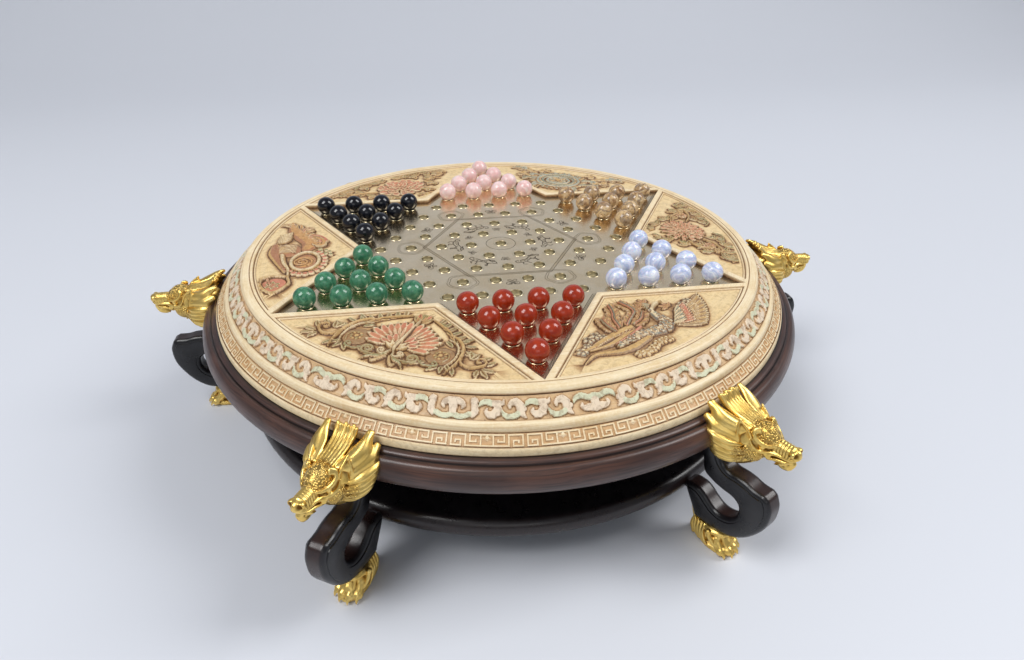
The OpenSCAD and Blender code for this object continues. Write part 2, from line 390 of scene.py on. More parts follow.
def star_material():
    """Pale bronze plate, brushed almost to a mirror, with etched lines, and dishes with a painted highlight
    on their lips and painted shade inside.
    """
    s = Shader("star_metal", Metallic=1.0, Roughness=0.2)
    at = s.place()
    haze = s.noise(at, 0.06, 4, 0.6)
    speck = s.noise(at, 0.9, 4, 0.6)
    base = s.layers(rgb(240, 222, 190), (rgb(232, 210, 172), haze, 0.3, 0.7),
                    (rgb(206, 184, 144), speck, 0.5, 0.75, 0, 0.3))
    # The tint is the dishes' old gold and the painted highlight on their lips
    tint = s.attribute("tint", "Color")
    cover = s.attribute("tint", "Alpha")
    base = s.mix(cover, base, tint)
    # Shade darkens the metal: the etched lines, and painted shade in the dishes, their grooves and the
    # plate's edge
    shade = s.attribute("shade")
    base = s.mix(s.maths("MULTIPLY", shade, 0.9, True), base, rgb(58, 50, 38))
    rough = s.maths("ADD", s.steps(speck, 0.3, 0.75, 0.17, 0.3), s.maths("MULTIPLY", shade, 0.3))
    return s.finish(Base_Color=base, Roughness=rough, Normal=s.bump(speck, 0.08, 0.1))


def rosewood_material():
    """Dark brown wood under satin lacquer, with its grain running round the board."""
    s = Shader("rosewood", Roughness=0.36, Coat_Weight=0.15, Coat_Roughness=0.3)
    at = s.place()
    pore = s.noise(s.around(0.8, 0.8, 6.0), 0.9, 5, 0.65, 0.4)
    tone = s.noise(at, 0.03, 3, 0.5)
    base = s.layers(rgb(61, 39, 32), (rgb(85, 55, 43), tone, 0.3, 0.7),
                    (rgb(34, 20, 18), pore, 0.42, 0.66, 0, 0.75))
    # Painted shade: darker where the rim's profile carries shade, in the groove under the bead and on the
    # face under the carved top
    shade = s.attribute("shade")
    base = s.mix(s.maths("MULTIPLY", shade, 0.9, True), base, rgb(16, 9, 8))
    return s.finish(Base_Color=base, Roughness=s.steps(pore, 0.3, 0.7, 0.32, 0.46),
                    Normal=s.bump(pore, 0.15, 0.12))


def lacquer_material():
    """Black lacquer with a satin rub, brown along the edges that carry a shade."""
    s = Shader("black_lacquer", Roughness=0.32)
    at = s.place()
    wear = s.noise(at, 0.12, 5, 0.6)
    grain = s.noise(s.place((1.0, 1.0, 0.18)), 0.8, 4, 0.6)
    base = s.mix(s.steps(wear, 0.4, 0.7), rgb(14, 13, 16), rgb(24, 22, 25))
    brown = s.maths("MULTIPLY", s.attribute("shade"), s.steps(grain, 0.3, 0.7, 0.5, 1.0), True)
    base = s.mix(brown, base, rgb(50, 33, 29))
    return s.finish(Base_Color=base, Roughness=s.steps(wear, 0.3, 0.7, 0.26, 0.36),
                    Normal=s.bump(grain, 0.06, 0.1))


def gilt_material():
    """Satin gold plating, browner in its hollows with its antique staining and painted shade, and granular
    where the tint says so, with painted shade between the grains.
    """
    s = Shader("gilt_metal", Metallic=1.0, Roughness=0.34)
    at = s.place()
    speck = s.noise(at, 1.2, 4, 0.65)
    haze = s.noise(at, 0.12, 3, 0.5)
    shade = s.attribute("shade")
    base = s.layers(rgb(244, 212, 128), (rgb(234, 196, 106), haze, 0.3, 0.7),
                    (rgb(214, 170, 84), speck, 0.5, 0.8, 0, 0.3), (rgb(104, 62, 20), shade, 0.1, 1.0, 0, 0.9))
    rough = s.maths("ADD", s.steps(speck, 0.3, 0.7, 0.3, 0.38), s.maths("MULTIPLY", shade, 0.2))
    grit = s.attribute("tint", "Alpha")
    beads = s.steps(s.cells(at, 0.8), 0.12, 0.62, 1.0, 0.0)
    # Painted shade between the grains
    shade_between_grains = s.maths("MULTIPLY", grit, s.steps(beads, 0.0, 0.4, 0.5, 0.0))
    base = s.mix(shade_between_grains, base, rgb(128, 82, 30))
    smooth = s.bump(speck, 0.05, 0.06)
    grains = s.bump(s.maths("MULTIPLY", beads, grit), 0.9, 0.5, smooth)
    return s.finish(Base_Color=base, Roughness=rough, Normal=grains)


def steel_material():
    """Brushed steel."""
    s = Shader("steel", Metallic=1.0, Roughness=0.3)
    scratch = s.noise(s.place((3, 3, 0.3)), 1.0, 4, 0.6)
    base = s.mix(s.steps(scratch, 0.35, 0.7), rgb(178, 180, 184), rgb(150, 152, 156))
    return s.finish(Base_Color=base, Roughness=s.steps(scratch, 0.3, 0.7, 0.24, 0.4),
                    Normal=s.bump(scratch, 0.1, 0.1))


def plain_wood_material(name, light, dark):
    """Unpolished wood with its grain along X."""
    s = Shader(name, Roughness=0.6)
    rings = s.noise(s.place((0.12, 1.0, 1.0)), 0.35, 4, 0.6, 0.8)
    base = s.mix(s.steps(rings, 0.35, 0.7), light, dark)
    return s.finish(Base_Color=base, Normal=s.bump(rings, 0.2, 0.2))


def stone_base(name, **sockets):
    """A polished stone. Its pattern follows each marble's own grain."""
    s = Shader(name, Roughness=0.12, IOR=1.54, **sockets)
    return s, s.attribute("grain", "Vector")


def jasper_material():
    """Red jasper with darker and paler flecks."""
    s, at = stone_base("red_stone")
    cloud = s.noise(at, 0.25, 4, 0.6)
    fleck = s.noise(at, 1.4, 5, 0.7)
    spot = s.noise(at, 0.9, 3, 0.5)
    base = s.layers(rgb(164, 52, 22), (rgb(142, 40, 16), cloud, 0.35, 0.7),
                    (rgb(108, 30, 14), fleck, 0.56, 0.72, 0, 0.5),
                    (rgb(176, 76, 44), spot, 0.64, 0.7, 0, 0.4))
    return s.finish(Base_Color=base, Roughness=s.steps(fleck, 0.4, 0.7, 0.15, 0.21))


def aventurine_material():
    """Clouded green aventurine with pale sparks."""
    s, at = stone_base("green_stone", Subsurface_Weight=0.12, Subsurface_Scale=0.002)
    cloud = s.noise(at, 0.22, 5, 0.6, 0.5)
    fleck = s.cells(at, 1.6)
    spot = s.noise(at, 0.5, 6, 0.7, 1.0)
    base = s.layers(rgb(42, 100, 72), (rgb(84, 142, 108), cloud, 0.32, 0.68),
                    (rgb(28, 78, 56), spot, 0.54, 0.66, 0, 0.6),
                    (rgb(140, 190, 160), fleck, 0.0, 0.12, 0.35, 0.0))
    return s.finish(Base_Color=base, Roughness=s.steps(cloud, 0.4, 0.7, 0.15, 0.2))


def onyx_material():
    """Black onyx, almost without a pattern."""
    s, at = stone_base("black_stone")
    cloud = s.noise(at, 0.2, 4, 0.6)
    base = s.mix(s.steps(cloud, 0.4, 0.75), rgb(8, 9, 15), rgb(20, 23, 34))
    return s.finish(Base_Color=base, Roughness=s.steps(cloud, 0.4, 0.7, 0.14, 0.2))


def quartz_material():
    """Pale, translucent rose quartz."""
    s, at = stone_base("rose_stone", Subsurface_Weight=0.45, Subsurface_Scale=0.004,
                       Subsurface_Radius=(1.0, 0.55, 0.6))
    cloud = s.noise(at, 0.16, 5, 0.6, 0.8)
    vein = s.noise(at, 0.35, 5, 0.65, 1.5)
    base = s.layers(rgb(226, 188, 184), (rgb(238, 214, 210), cloud, 0.35, 0.68),
                    (rgb(240, 218, 214), vein, 0.5, 0.58, 0, 0.15))
    return s.finish(Base_Color=base, Roughness=s.steps(cloud, 0.4, 0.7, 0.15, 0.2))


def picture_material():
    """Mottled picture jasper: every marble has its own mean colour, with a few soft bands."""
    s, at = stone_base("tan_stone")
    broad = s.noise(at, 0.035, 2, 0.5)
    cloud = s.noise(at, 0.17, 5, 0.62, 0.9)
    band = s.bands(at, 0.045, 9.0, 3.0, 2.0)
    dirt = s.noise(at, 0.5, 5, 0.7)
    base = s.layers(rgb(176, 140, 98), (rgb(206, 174, 128), broad, 0.4, 0.6),
                    (rgb(220, 198, 160), cloud, 0.52, 0.64, 0, 0.8),
                    (rgb(130, 94, 62), cloud, 0.48, 0.38, 0, 0.85),
                    (rgb(136, 118, 100), band, 0.62, 0.9, 0, 0.7),
                    (rgb(94, 66, 44), dirt, 0.52, 0.62, 0, 0.65))
    return s.finish(Base_Color=base, Roughness=s.steps(dirt, 0.4, 0.7, 0.14, 0.2))


def lace_material():
    """Blue lace agate: pale and cloudy, with a few darker lines that wander round the stone."""
    s, at = stone_base("lace_stone", Subsurface_Weight=0.15, Subsurface_Scale=0.002)
    cloud = s.noise(at, 0.13, 5, 0.6, 1.0)
    band = s.bands(at, 0.06, 8.0, 2.0, 1.4)
    haze = s.noise(at, 0.35, 5, 0.65)
    base = s.layers(rgb(188, 198, 226), (rgb(214, 220, 237), cloud, 0.36, 0.66),
                    (rgb(160, 174, 212), band, 0.8, 0.97, 0, 0.6),
                    (rgb(240, 242, 248), band, 0.16, 0.03, 0, 0.6),
                    (rgb(182, 192, 220), haze, 0.5, 0.68, 0, 0.35))
    return s.finish(Base_Color=base, Roughness=s.steps(haze, 0.4, 0.7, 0.14, 0.2))


RESIN = resin_material()
STAR = star_material()
ROSEWOOD = rosewood_material()
LACQUER = lacquer_material()
GILT = gilt_material()
STEEL = steel_material()
DECKWOOD = plain_wood_material("deck_board", rgb(92, 76, 66), rgb(64, 51, 44))
DOWELWOOD = plain_wood_material("dowel_wood", rgb(222, 192, 148), rgb(198, 162, 116))
STONES = {"tan": picture_material(), "rose": quartz_material(), "black": onyx_material(),
          "green": aventurine_material(), "red": jasper_material(), "lace": lace_material()}


# ---------------------------------------------------------------- marbles

def arm_marbles(k):
    """Centres of the ten marbles of arm k, row by row from the middle outwards."""
    out, across = polar(1, 30 + 60 * k), polar(1, 120 + 60 * k)
    places = []
    for row in range(1, LEAD + 1):
        for j in range(LEAD + 1 - row):
            reach = PITCH * (LEAD + row) * math.sqrt(3) / 2
            side = PITCH * (j - (LEAD - row) / 2)
            places.append(out * reach + across * side)
    return places


def ball_mesh():
    """Points and triangles of one marble round the origin."""
    bm = bmesh.new()
    bmesh.ops.create_icosphere(bm, subdivisions=4, radius=MARBLE_R)
    bm.verts.index_update()
    co = np.array([v.co for v in bm.verts])
    faces = np.array([[v.index for v in f.verts] for f in bm.faces])
    bm.free()
    return co, faces


def marbles():
    """Sixty polished stones. Each takes its own cut out of the stone's pattern."""
    dice = random.Random(7)
    ball, ball_faces = ball_mesh()

    def stones(name, colour, centres, body):
        form, grain = Form(), []
        for x, y in centres:
            turn = np.array(Euler([dice.uniform(0, math.tau) for _ in range(3)]).to_matrix())
            local = ball @ turn.T
            form.add(local + [x, y, MARBLE_Z], [ball_faces])
            grain.append(ball + [dice.uniform(-200, 200) for _ in range(3)])
        piece = form.build(name, STONES[colour], sharp=180)
        field = piece.data.attributes.new("grain", "FLOAT_VECTOR", "POINT")
        field.data.foreach_set("vector", np.vstack(grain).reshape(-1))
        place(piece, colour + "_stone", body, body=body)

    for k, colour in enumerate(COLOURS):
        centres = arm_marbles(k)
        for j in range(LEAD):
            stones(f"{colour}_stone_{j + 1}", colour, centres[j:j + 1], f"{colour}_marble_{j + 1}")
        stones(f"{colour}_stones_home", colour, centres[LEAD:], f"{colour}_marbles_home")


# ---------------------------------------------------------------- star plate

def star_outline(grow):
    """Corners of the star, grown sideways."""
    points = []
    for k in range(SIDES):
        points.append(polar(CORNER_R + grow * 2 / math.sqrt(3), 60 * k))
        points.append(polar(TIP_R + grow * 2, 60 * k + 30))
    return points


def star_holes():
    """Places of the 121 dishes: a lattice cut to two large triangles that cross."""
    holes = []
    for a in range(-8, 9):
        for b in range(-8, 9):
            c = -a - b
            if max(a, b, c) <= 4 or min(a, b, c) >= -4:
                holes.append(PITCH * np.array([a + b / 2, b * math.sqrt(3) / 2]))
    return holes


DISH_STEPS = 32
DISH_GAP = 0.3              # between a marble and its dish
LIP_W = 1.2                 # of the raised lip round a dish
# Painted highlight for the dishes' raised lips; the dishes' own old gold below
LIP_HIGHLIGHT = (*rgb(252, 238, 200), 0.85)
OLD_GOLD = (*rgb(238, 214, 152), 0.85)
HEXAGON = (54.2, 56.4)      # apothems of the two lines of the etched hexagon
HEXAGON_TICKS = 54          # hatching strokes along each side of it
BORDER = (1.6, 3.6)         # the two lines of the hatched border, from the star's edge
BORDER_TICKS = 44
CREATURE_R, CREATURE_SIZE = 38.2, 22
BUTTERFLIES = ((69, 8, 0.6), (28.9, 5.5, 0.45))     # radius, size and width of line
CLOUD_R, CLOUD_SIZE = 75, 8.2
MIDDLE_RING_R = 12.4
ETCH_TOP, ETCH_FOOT = 0.03, 0.25    # how far a line stands above the metal and reaches into it


def etch(form, points, width=0.75, closed=False, dark=0.9):
    """A fine dark line on the plate: a closed bar whose top stands a hair above the metal."""
    p = np.asarray(points, float)
    if closed:
        p = np.vstack([p, p[:1]])
    along = np.gradient(p, axis=0)
    if closed:
        along[0] = along[-1] = along[0] + along[-1]
    along /= np.maximum(np.linalg.norm(along, axis=1), 1e-9)[:, None]
    aside = np.column_stack([-along[:, 1], along[:, 0]]) * width / 2
    top, foot = PLATE_Z + ETCH_TOP, PLATE_Z - ETCH_FOOT
    corners = [(p - aside, foot), (p - aside, top), (p + aside, top), (p + aside, foot)]
    co = np.stack([np.column_stack([xy, np.full(len(p), z)]) for xy, z in corners], 1)
    form.add(co, bar_faces(len(p), 4), dark)


def etch_creature(form, at, heading, size, dice):
    """A running creature in a few loose strokes: back, belly, four legs, a curled tail, a mane."""
    ahead, aside = polar(1, heading), polar(1, heading + 90)

    def on(x, y):
        return np.asarray(at) + (ahead * x + aside * y) * size

    def loose(points, width=0.8):
        shaken = [on(x + dice.uniform(-0.02, 0.02), y + dice.uniform(-0.02, 0.02)) for x, y in points]
        etch(form, smooth_line(shaken, 4), width)

    loose([(-0.42, 0.02), (-0.3, 0.16), (-0.05, 0.13), (0.18, 0.2), (0.34, 0.12), (0.46, 0.16)])
    loose([(-0.4, 0.0), (-0.2, -0.04), (0.04, 0.0), (0.22, -0.02), (0.36, 0.04)])
    for x, bend in ((-0.34, -0.08), (-0.22, 0.06), (0.14, 0.08), (0.26, -0.05)):
        loose([(x, -0.02), (x + bend, -0.12), (x + bend * 0.3, -0.2), (x + bend + 0.05, -0.24)])
    loose([(-0.42, 0.04), (-0.54, 0.12), (-0.5, 0.24), (-0.4, 0.22), (-0.43, 0.15)])
    for i in range(4):
        x = 0.2 + 0.07 * i
        loose([(x, 0.17), (x - 0.04, 0.25), (x - 0.1, 0.23)])
    loose([(0.46, 0.16), (0.52, 0.08), (0.46, 0.03), (0.38, 0.06)])
    for i in range(3):
        x = -0.28 + 0.16 * i
        loose([(x, 0.1), (x + 0.05, 0.03), (x + 0.1, 0.1)], 0.6)


def etch_butterfly(form, at, heading, size, width):
    """A butterfly: two wings to each side, each with a line inside."""
    ahead, aside = polar(1, heading), polar(1, heading + 90)
    for side in (1, -1):
        for wing in (((0, 0.1), (0.3, 0.5), (0.62, 0.42), (0.55, 0.1), (0.1, 0.0)),
                     ((0, -0.05), (0.35, -0.12), (0.42, -0.38), (0.16, -0.36), (0, -0.1)),
                     ((0.1, 0.14), (0.3, 0.32), (0.44, 0.26)),
                     ((0, 0.2), (0.12, 0.42), (0.24, 0.55))):
            line = smooth_line([np.asarray(at) + (aside * x * side + ahead * y) * size for x, y in wing], 4)
            etch(form, line, width)


def etch_cloud(form, at, heading, size, grow):
    """The lobed outline of a cloud round a dish."""
    turns = np.radians(np.arange(72) * 5)
    lobes = 1 + 0.13 * np.abs(np.sin(turns * 2.5)) + 0.1 * np.cos(2 * turns)
    reach = size * lobes + grow
    ahead, aside = polar(1, heading), polar(1, heading + 90)
    along, across = reach * np.cos(turns), reach * np.sin(turns) * 1.25
    line = np.asarray(at) + along[:, None] * ahead + across[:, None] * aside
    etch(form, line, 0.5, closed=True, dark=0.7)


def sides_of(outline):
    """Both ends of every side of a closed outline."""
    return zip(outline, outline[1:] + outline[:1])


def etch_band(form, near, far, parts, dark, ticks, lean, tick_width, tick_dark):
    """Two closed outlines with hatching between them, which leans along the sides."""
    for outline in (near, far):
        line = [blend(a, b, i / parts) for a, b in sides_of(outline) for i in range(parts)]
        etch(form, line, 0.5, closed=True, dark=dark)
    for (near_a, near_b), (far_a, far_b) in zip(sides_of(near), sides_of(far)):
        for i in range(ticks):
            start = blend(near_a, near_b, (i + lean[0]) / ticks)
            end = blend(far_a, far_b, (i + lean[1]) / ticks)
            etch(form, [start, end], tick_width, dark=tick_dark)


def etching(form):
    """Hexagon band, creatures, clouds, butterflies and the hatched border along the star's edges."""
    dice = random.Random(11)
    near, far = ([polar(apothem * 2 / math.sqrt(3), 60 * k) for k in range(SIDES)] for apothem in HEXAGON)
    etch_band(form, near, far, parts=4, dark=0.75, ticks=HEXAGON_TICKS, lean=(0, 0.7), tick_width=0.42,
              tick_dark=0.5)
    for k in range(SIDES):
        spoke = 60 * k
        heading = spoke + 90 + dice.uniform(-8, 8)
        etch_creature(form, polar(CREATURE_R, spoke), heading, CREATURE_SIZE, dice)
        for radius, size, width in BUTTERFLIES:
            etch_butterfly(form, polar(radius, spoke + 30), spoke + 30, size, width)
        for grow in (0.0, 1.5):
            etch_cloud(form, polar(CLOUD_R, spoke), spoke, CLOUD_SIZE, grow)
    etch(form, [polar(MIDDLE_RING_R, 10 * i) for i in range(36)], 0.5, closed=True)
    near, far = (star_outline(-inset) for inset in BORDER)
    etch_band(form, near, far, parts=7, dark=0.7, ticks=BORDER_TICKS, lean=(0.2, 0.8), tick_width=0.55,
              tick_dark=0.7)


def star_plate():
    """The metal star: a dish with a raised lip for every marble, each with a painted highlight on its lip and
    painted shade inside, and figures etched between them.
    """
    form = Form()
    ball_r = MARBLE_R + DISH_GAP
    mouth = math.sqrt(ball_r ** 2 - (MARBLE_Z - PLATE_Z) ** 2)
    lip = mouth + LIP_W
    # Radius, height, painted shade, and how much painted highlight there is: 0 for the dish's old gold, below
    # 0 for no tint
    profile = [(lip, PLATE_Z, 0.0, -1.0), (lip - 0.03, PLATE_Z - 0.06, 0.8, 0.0),
               (lip - 0.28, PLATE_Z + 0.2, 0.05, 0.9), (mouth + 0.5, PLATE_Z + 0.3, 0.0, 1.0),
               (mouth + 0.1, PLATE_Z + 0.16, 0.1, 0.9), (mouth, PLATE_Z, 0.9, 0.0)]
    # Inside the mouth, a ring of painted shade that fades towards the bottom
    for part, dark in ((0.9, 0.95), (0.76, 0.75), (0.6, 0.35), (0.42, 0.0), (0.2, 0.0), (0.02, 0.0)):
        r = mouth * part
        profile.append((r, MARBLE_Z - math.sqrt(ball_r ** 2 - r ** 2), dark, 0.0))
    profile = profile[::-1]
    rings = turned([p[:2] for p in profile], DISH_STEPS)
    n = len(profile)
    shade = np.tile([p[2] for p in profile], DISH_STEPS)
    tint = np.zeros((DISH_STEPS, n, 4))
    for j, p in enumerate(profile):
        if p[3] > 0:
            tint[:, j] = (*LIP_HIGHLIGHT[:3], LIP_HIGHLIGHT[3] * p[3])
        elif p[3] == 0:
            tint[:, j] = OLD_GOLD
    faces = grid_faces(DISH_STEPS, n, True)
    holes = star_holes()
    outline = star_outline(-0.25)
    loops = [outline]
    circle = [polar(lip, 360 * i / DISH_STEPS) for i in range(DISH_STEPS)]
    for x, y in holes:
        form.add(rings + [x, y, 0], [faces], shade, tint)
        loops.append([(x + cx, y + cy) for cx, cy in circle])
    co, tris = fill(loops, PLATE_Z)
    form.add(co, [tris])
    # The plate's edge, down in the pocket, carries painted shade
    edge = np.array([[[x, y, PLATE_Z], [x, y, POCKET_Z]] for x, y in outline])
    form.add(edge, [grid_faces(len(outline), 2, True)], 0.5)
    under, tris = fill([outline], POCKET_Z)
    form.add(under, [tris[:, ::-1]])
    etching(form)
    place(form.build("star_plate_etched", STAR, merge=0.001, sharp=30), "star_metal", "star_plate")


# ---------------------------------------------------------------- relief carving

def soften(field, passes):
    """The field with each value drawn towards its neighbours', several times over."""
    for _ in range(passes):
        padded = np.pad(field, 1, mode="edge")
        field = (padded[:-2, 1:-1] + padded[2:, 1:-1] + padded[1:-1, :-2] + padded[1:-1, 2:]
                 + 2 * field) / 6
    return field


def curl(at, heading, radius, turns, side=1):
    """Points of a spiral that leaves a point in a heading and winds inwards, to the left for side 1."""
    centre = np.asarray(at) + polar(radius, heading + 90 * side)
    count = max(4, int(turns * 9))
    points = []
    for i in range(1, count + 1):
        angle = heading - 90 * side + side * 360 * turns * i / count
        points.append(centre + polar(radius * (1 - 0.82 * i / count), angle))
    return points


class Relief:
    """Heights in millimetres over a grid of points, with paint. Up is towards the board's middle."""

    def __init__(self, x, y):
        self.shape = x.shape
        self.x, self.y = x.reshape(-1), y.reshape(-1)
        self.u = self.x
        self.height = np.zeros(self.x.shape)
        self.tint = np.tile(FIELD_STAIN, (self.x.size, 1))

    def mirrored(self):
        """What is drawn in a loop over this is drawn twice, the second time with right and left exchanged."""
        for side in (1, -1):
            self.u = self.x * side
            yield
        self.u = self.x

    def near(self, points, reach):
        points = np.asarray(points, float)
        lo, hi = points.min(0) - reach, points.max(0) + reach
        return np.flatnonzero((self.u > lo[0]) & (self.u < hi[0]) & (self.y > lo[1]) & (self.y < hi[1]))

    def lay(self, near, height, colour, cover=0.85):
        """Raises the points to the height wherever it is higher, and paints what it raises."""
        over = height > self.height[near]
        where = near[over]
        self.height[where] = height[over]
        if colour is not None:
            paint = np.broadcast_to(colour, (len(near), 3))[over]
            self.tint[where] = np.column_stack([paint, np.full(len(where), cover)])

    def stroke(self, points, widths, height, colour=None, rim=None, power=2.0, steps=5):
        """A rounded ridge along a smooth curve. The half widths are spread evenly along it."""
        line = smooth_line(points, steps)
        w = spread(widths, len(line))
        near = self.near(line, max(widths))
        x, y = self.u[near], self.y[near]
        q = np.full(len(x), 2.0)
        for a, b, wa, wb in zip(line, line[1:], w, w[1:]):
            d = b - a
            t = np.clip(((x - a[0]) * d[0] + (y - a[1]) * d[1]) / max(d @ d, 1e-9), 0, 1)
            q = np.minimum(q, np.hypot(x - a[0] - t * d[0], y - a[1] - t * d[1]) / (wa + (wb - wa) * t))
        self.crown(near, q, height, colour, rim, power)

    def crown(self, near, q, height, colour, rim, power):
        inside = q < 1
        near, q = near[inside], q[inside]
        raised = height * np.sqrt(1 - q ** power)
        paint = colour
        if rim is not None:
            paint = np.where((q > 0.62)[:, None], rim, colour)
        self.lay(near, raised, paint)

    def vine(self, points, widths, height, colour, spiral=None, rim=None):
        """A stroke that can end in a spiral (radius, turns, side)."""
        points = [np.asarray(p, float) for p in points]
        if spiral:
            points += curl(points[-1], heading_of(points[-1] - points[-2]), *spiral)
            widths = list(widths) + [widths[-1]] * len(widths)
        self.stroke(points, widths, height, colour, rim)

    def petal(self, at, angle, length, width, height, colour, rim=None, bend=0.0, cup=0.55, tip=0.8,
              vein=0.0):
        """A petal or leaf growing from a point: cupped by cup, and grooved down its middle by vein."""
        c, s = polar(1, angle)
        near = self.near([at], length * 1.15)
        dx, dy = self.u[near] - at[0], self.y[near] - at[1]
        along = (dx * c + dy * s) / length
        across = dy * c - dx * s - bend * length * along ** 2
        keep = (along > 0) & (along < 1)
        near, along, across = near[keep], along[keep], across[keep]
        half = width / 2 * np.sin(math.pi * along ** tip) ** 0.7 + 1e-6
        q = np.abs(across) / half
        keep = q < 1
        near, along, q = near[keep], along[keep], q[keep]
        bowl = 1 - cup * (1 - q ** 2) * (1 - 0.5 * along)
        raised = height * bowl * np.sqrt(1 - q ** 6) * (0.7 + 0.3 * along)
        if vein:
            raised -= height * vein * np.exp(-(q / 0.16) ** 2)
        paint = colour
        if rim is not None:
            paint = np.where(((q > 0.66) | (along > 0.9))[:, None], rim, colour)
        self.lay(near, raised, paint)

    def fan(self, at, angles, length, width, height, colour, rim=None, **shape):
        for angle in angles:
            self.petal(at, angle, length, width, height, colour, rim, **shape)

    def knob(self, at, radius, height, colour=None, rim=None, power=2.0, squeeze=1.0):
        near = self.near([at], radius * max(1, squeeze))
        q = np.hypot((self.u[near] - at[0]) / squeeze, self.y[near] - at[1]) / radius
        self.crown(near, q, height, colour, rim, power)

    def cloud(self, at, size, height, colour, rim, lobes=5, start=0):
        """A curled cloud puff: a swirl with lobes round it."""
        for i in range(lobes):
            self.knob(np.asarray(at) + polar(size * 0.62, start + 360 / lobes * i), size * 0.42, height * 0.8,
                      colour, rim)
        self.stroke(curl(np.asarray(at) + polar(size * 0.55, start), start + 90, size * 0.55, 1.3),
                    [size * 0.16, size * 0.1], height, rim)

    def scales(self, points, widths, height, colours, size=2.2):
        """Overlapping scales along a body, each drawn as a small petal."""
        line = smooth_line(points, 6)
        w = spread(widths, len(line))
        step = np.hypot(*np.diff(line, axis=0).T)
        travel, row = 0.0, 0
        for i in range(len(line) - 1, 0, -1):
            travel += step[i - 1]
            if travel < size * 0.62:
                continue
            travel, row = 0.0, row + 1
            d = (line[i] - line[i - 1]) / max(step[i - 1], 1e-6)
            heading = heading_of(d)
            side = np.array([-d[1], d[0]])
            count = max(1, int(w[i] * 2 / (size * 0.8)))
            for j in range(count):
                across = (j - (count - 1) / 2 + 0.5 * (row % 2 - 0.5)) * size * 0.85
                if abs(across) > w[i] - size * 0.3:
                    continue
                lift = height * math.sqrt(max(0.2, 1 - (across / (w[i] + 0.4)) ** 2))
                self.petal(line[i] + side * across, heading, size, size * 0.95, lift + 0.8,
                           colours[(row + j) % len(colours)], IVORY, cup=0.12, tip=0.6)

    def field(self):
        """Height, shade and tint over the grid: creases, lower parts and the floor round the carving get
        painted shade with brown antique staining, and crests are rubbed bare, which also paints a pale
        highlight on them.
        """
        h = self.height.reshape(self.shape)
        # Painted shade and antique staining, from how far a point lies below its neighbours and how near the
        # carving it is
        low_near = np.clip((soften(h, 3) - h) * 5.5, 0, 1)
        floor_stain_and_shade = np.clip(soften(h, 60) * 2.2, 0, 0.6) * (h < 0.12)
        halo = np.clip(soften(h, 12) * 2.6, 0, 0.9) * (h < 0.12)
        low_stain_and_shade = np.clip(1 - h / (soften(h, 12) + 0.1), 0, 0.5) * (h > 0.12)
        shade = np.clip(low_near + np.maximum(floor_stain_and_shade, halo) + low_stain_and_shade, 0, 1)
        # Crests rubbed bare of paint; their paler colour is also a painted highlight
        crest = np.clip((h - soften(h, 2)) * 3.0, 0, 1) * (h > 0.3)
        tint = self.tint.copy()
        tint[:, 3] *= 1 - 0.3 * crest.reshape(-1)
        return h.reshape(-1), shade.reshape(-1), tint


CORAL, SALMON, ROSE = rgb(184, 86, 58), rgb(200, 110, 78), rgb(188, 94, 72)
OLIVE, LEAF, SAGE = rgb(132, 116, 60), rgb(98, 110, 56), rgb(138, 142, 94)
GOLD, AMBER, RUST = rgb(190, 148, 80), rgb(188, 130, 60), rgb(152, 84, 46)
SLATE, TEAL, SKY = rgb(62, 74, 82), rgb(80, 106, 96), rgb(132, 152, 144)
BROWN, CHALK = rgb(134, 96, 56), rgb(216, 196, 156)


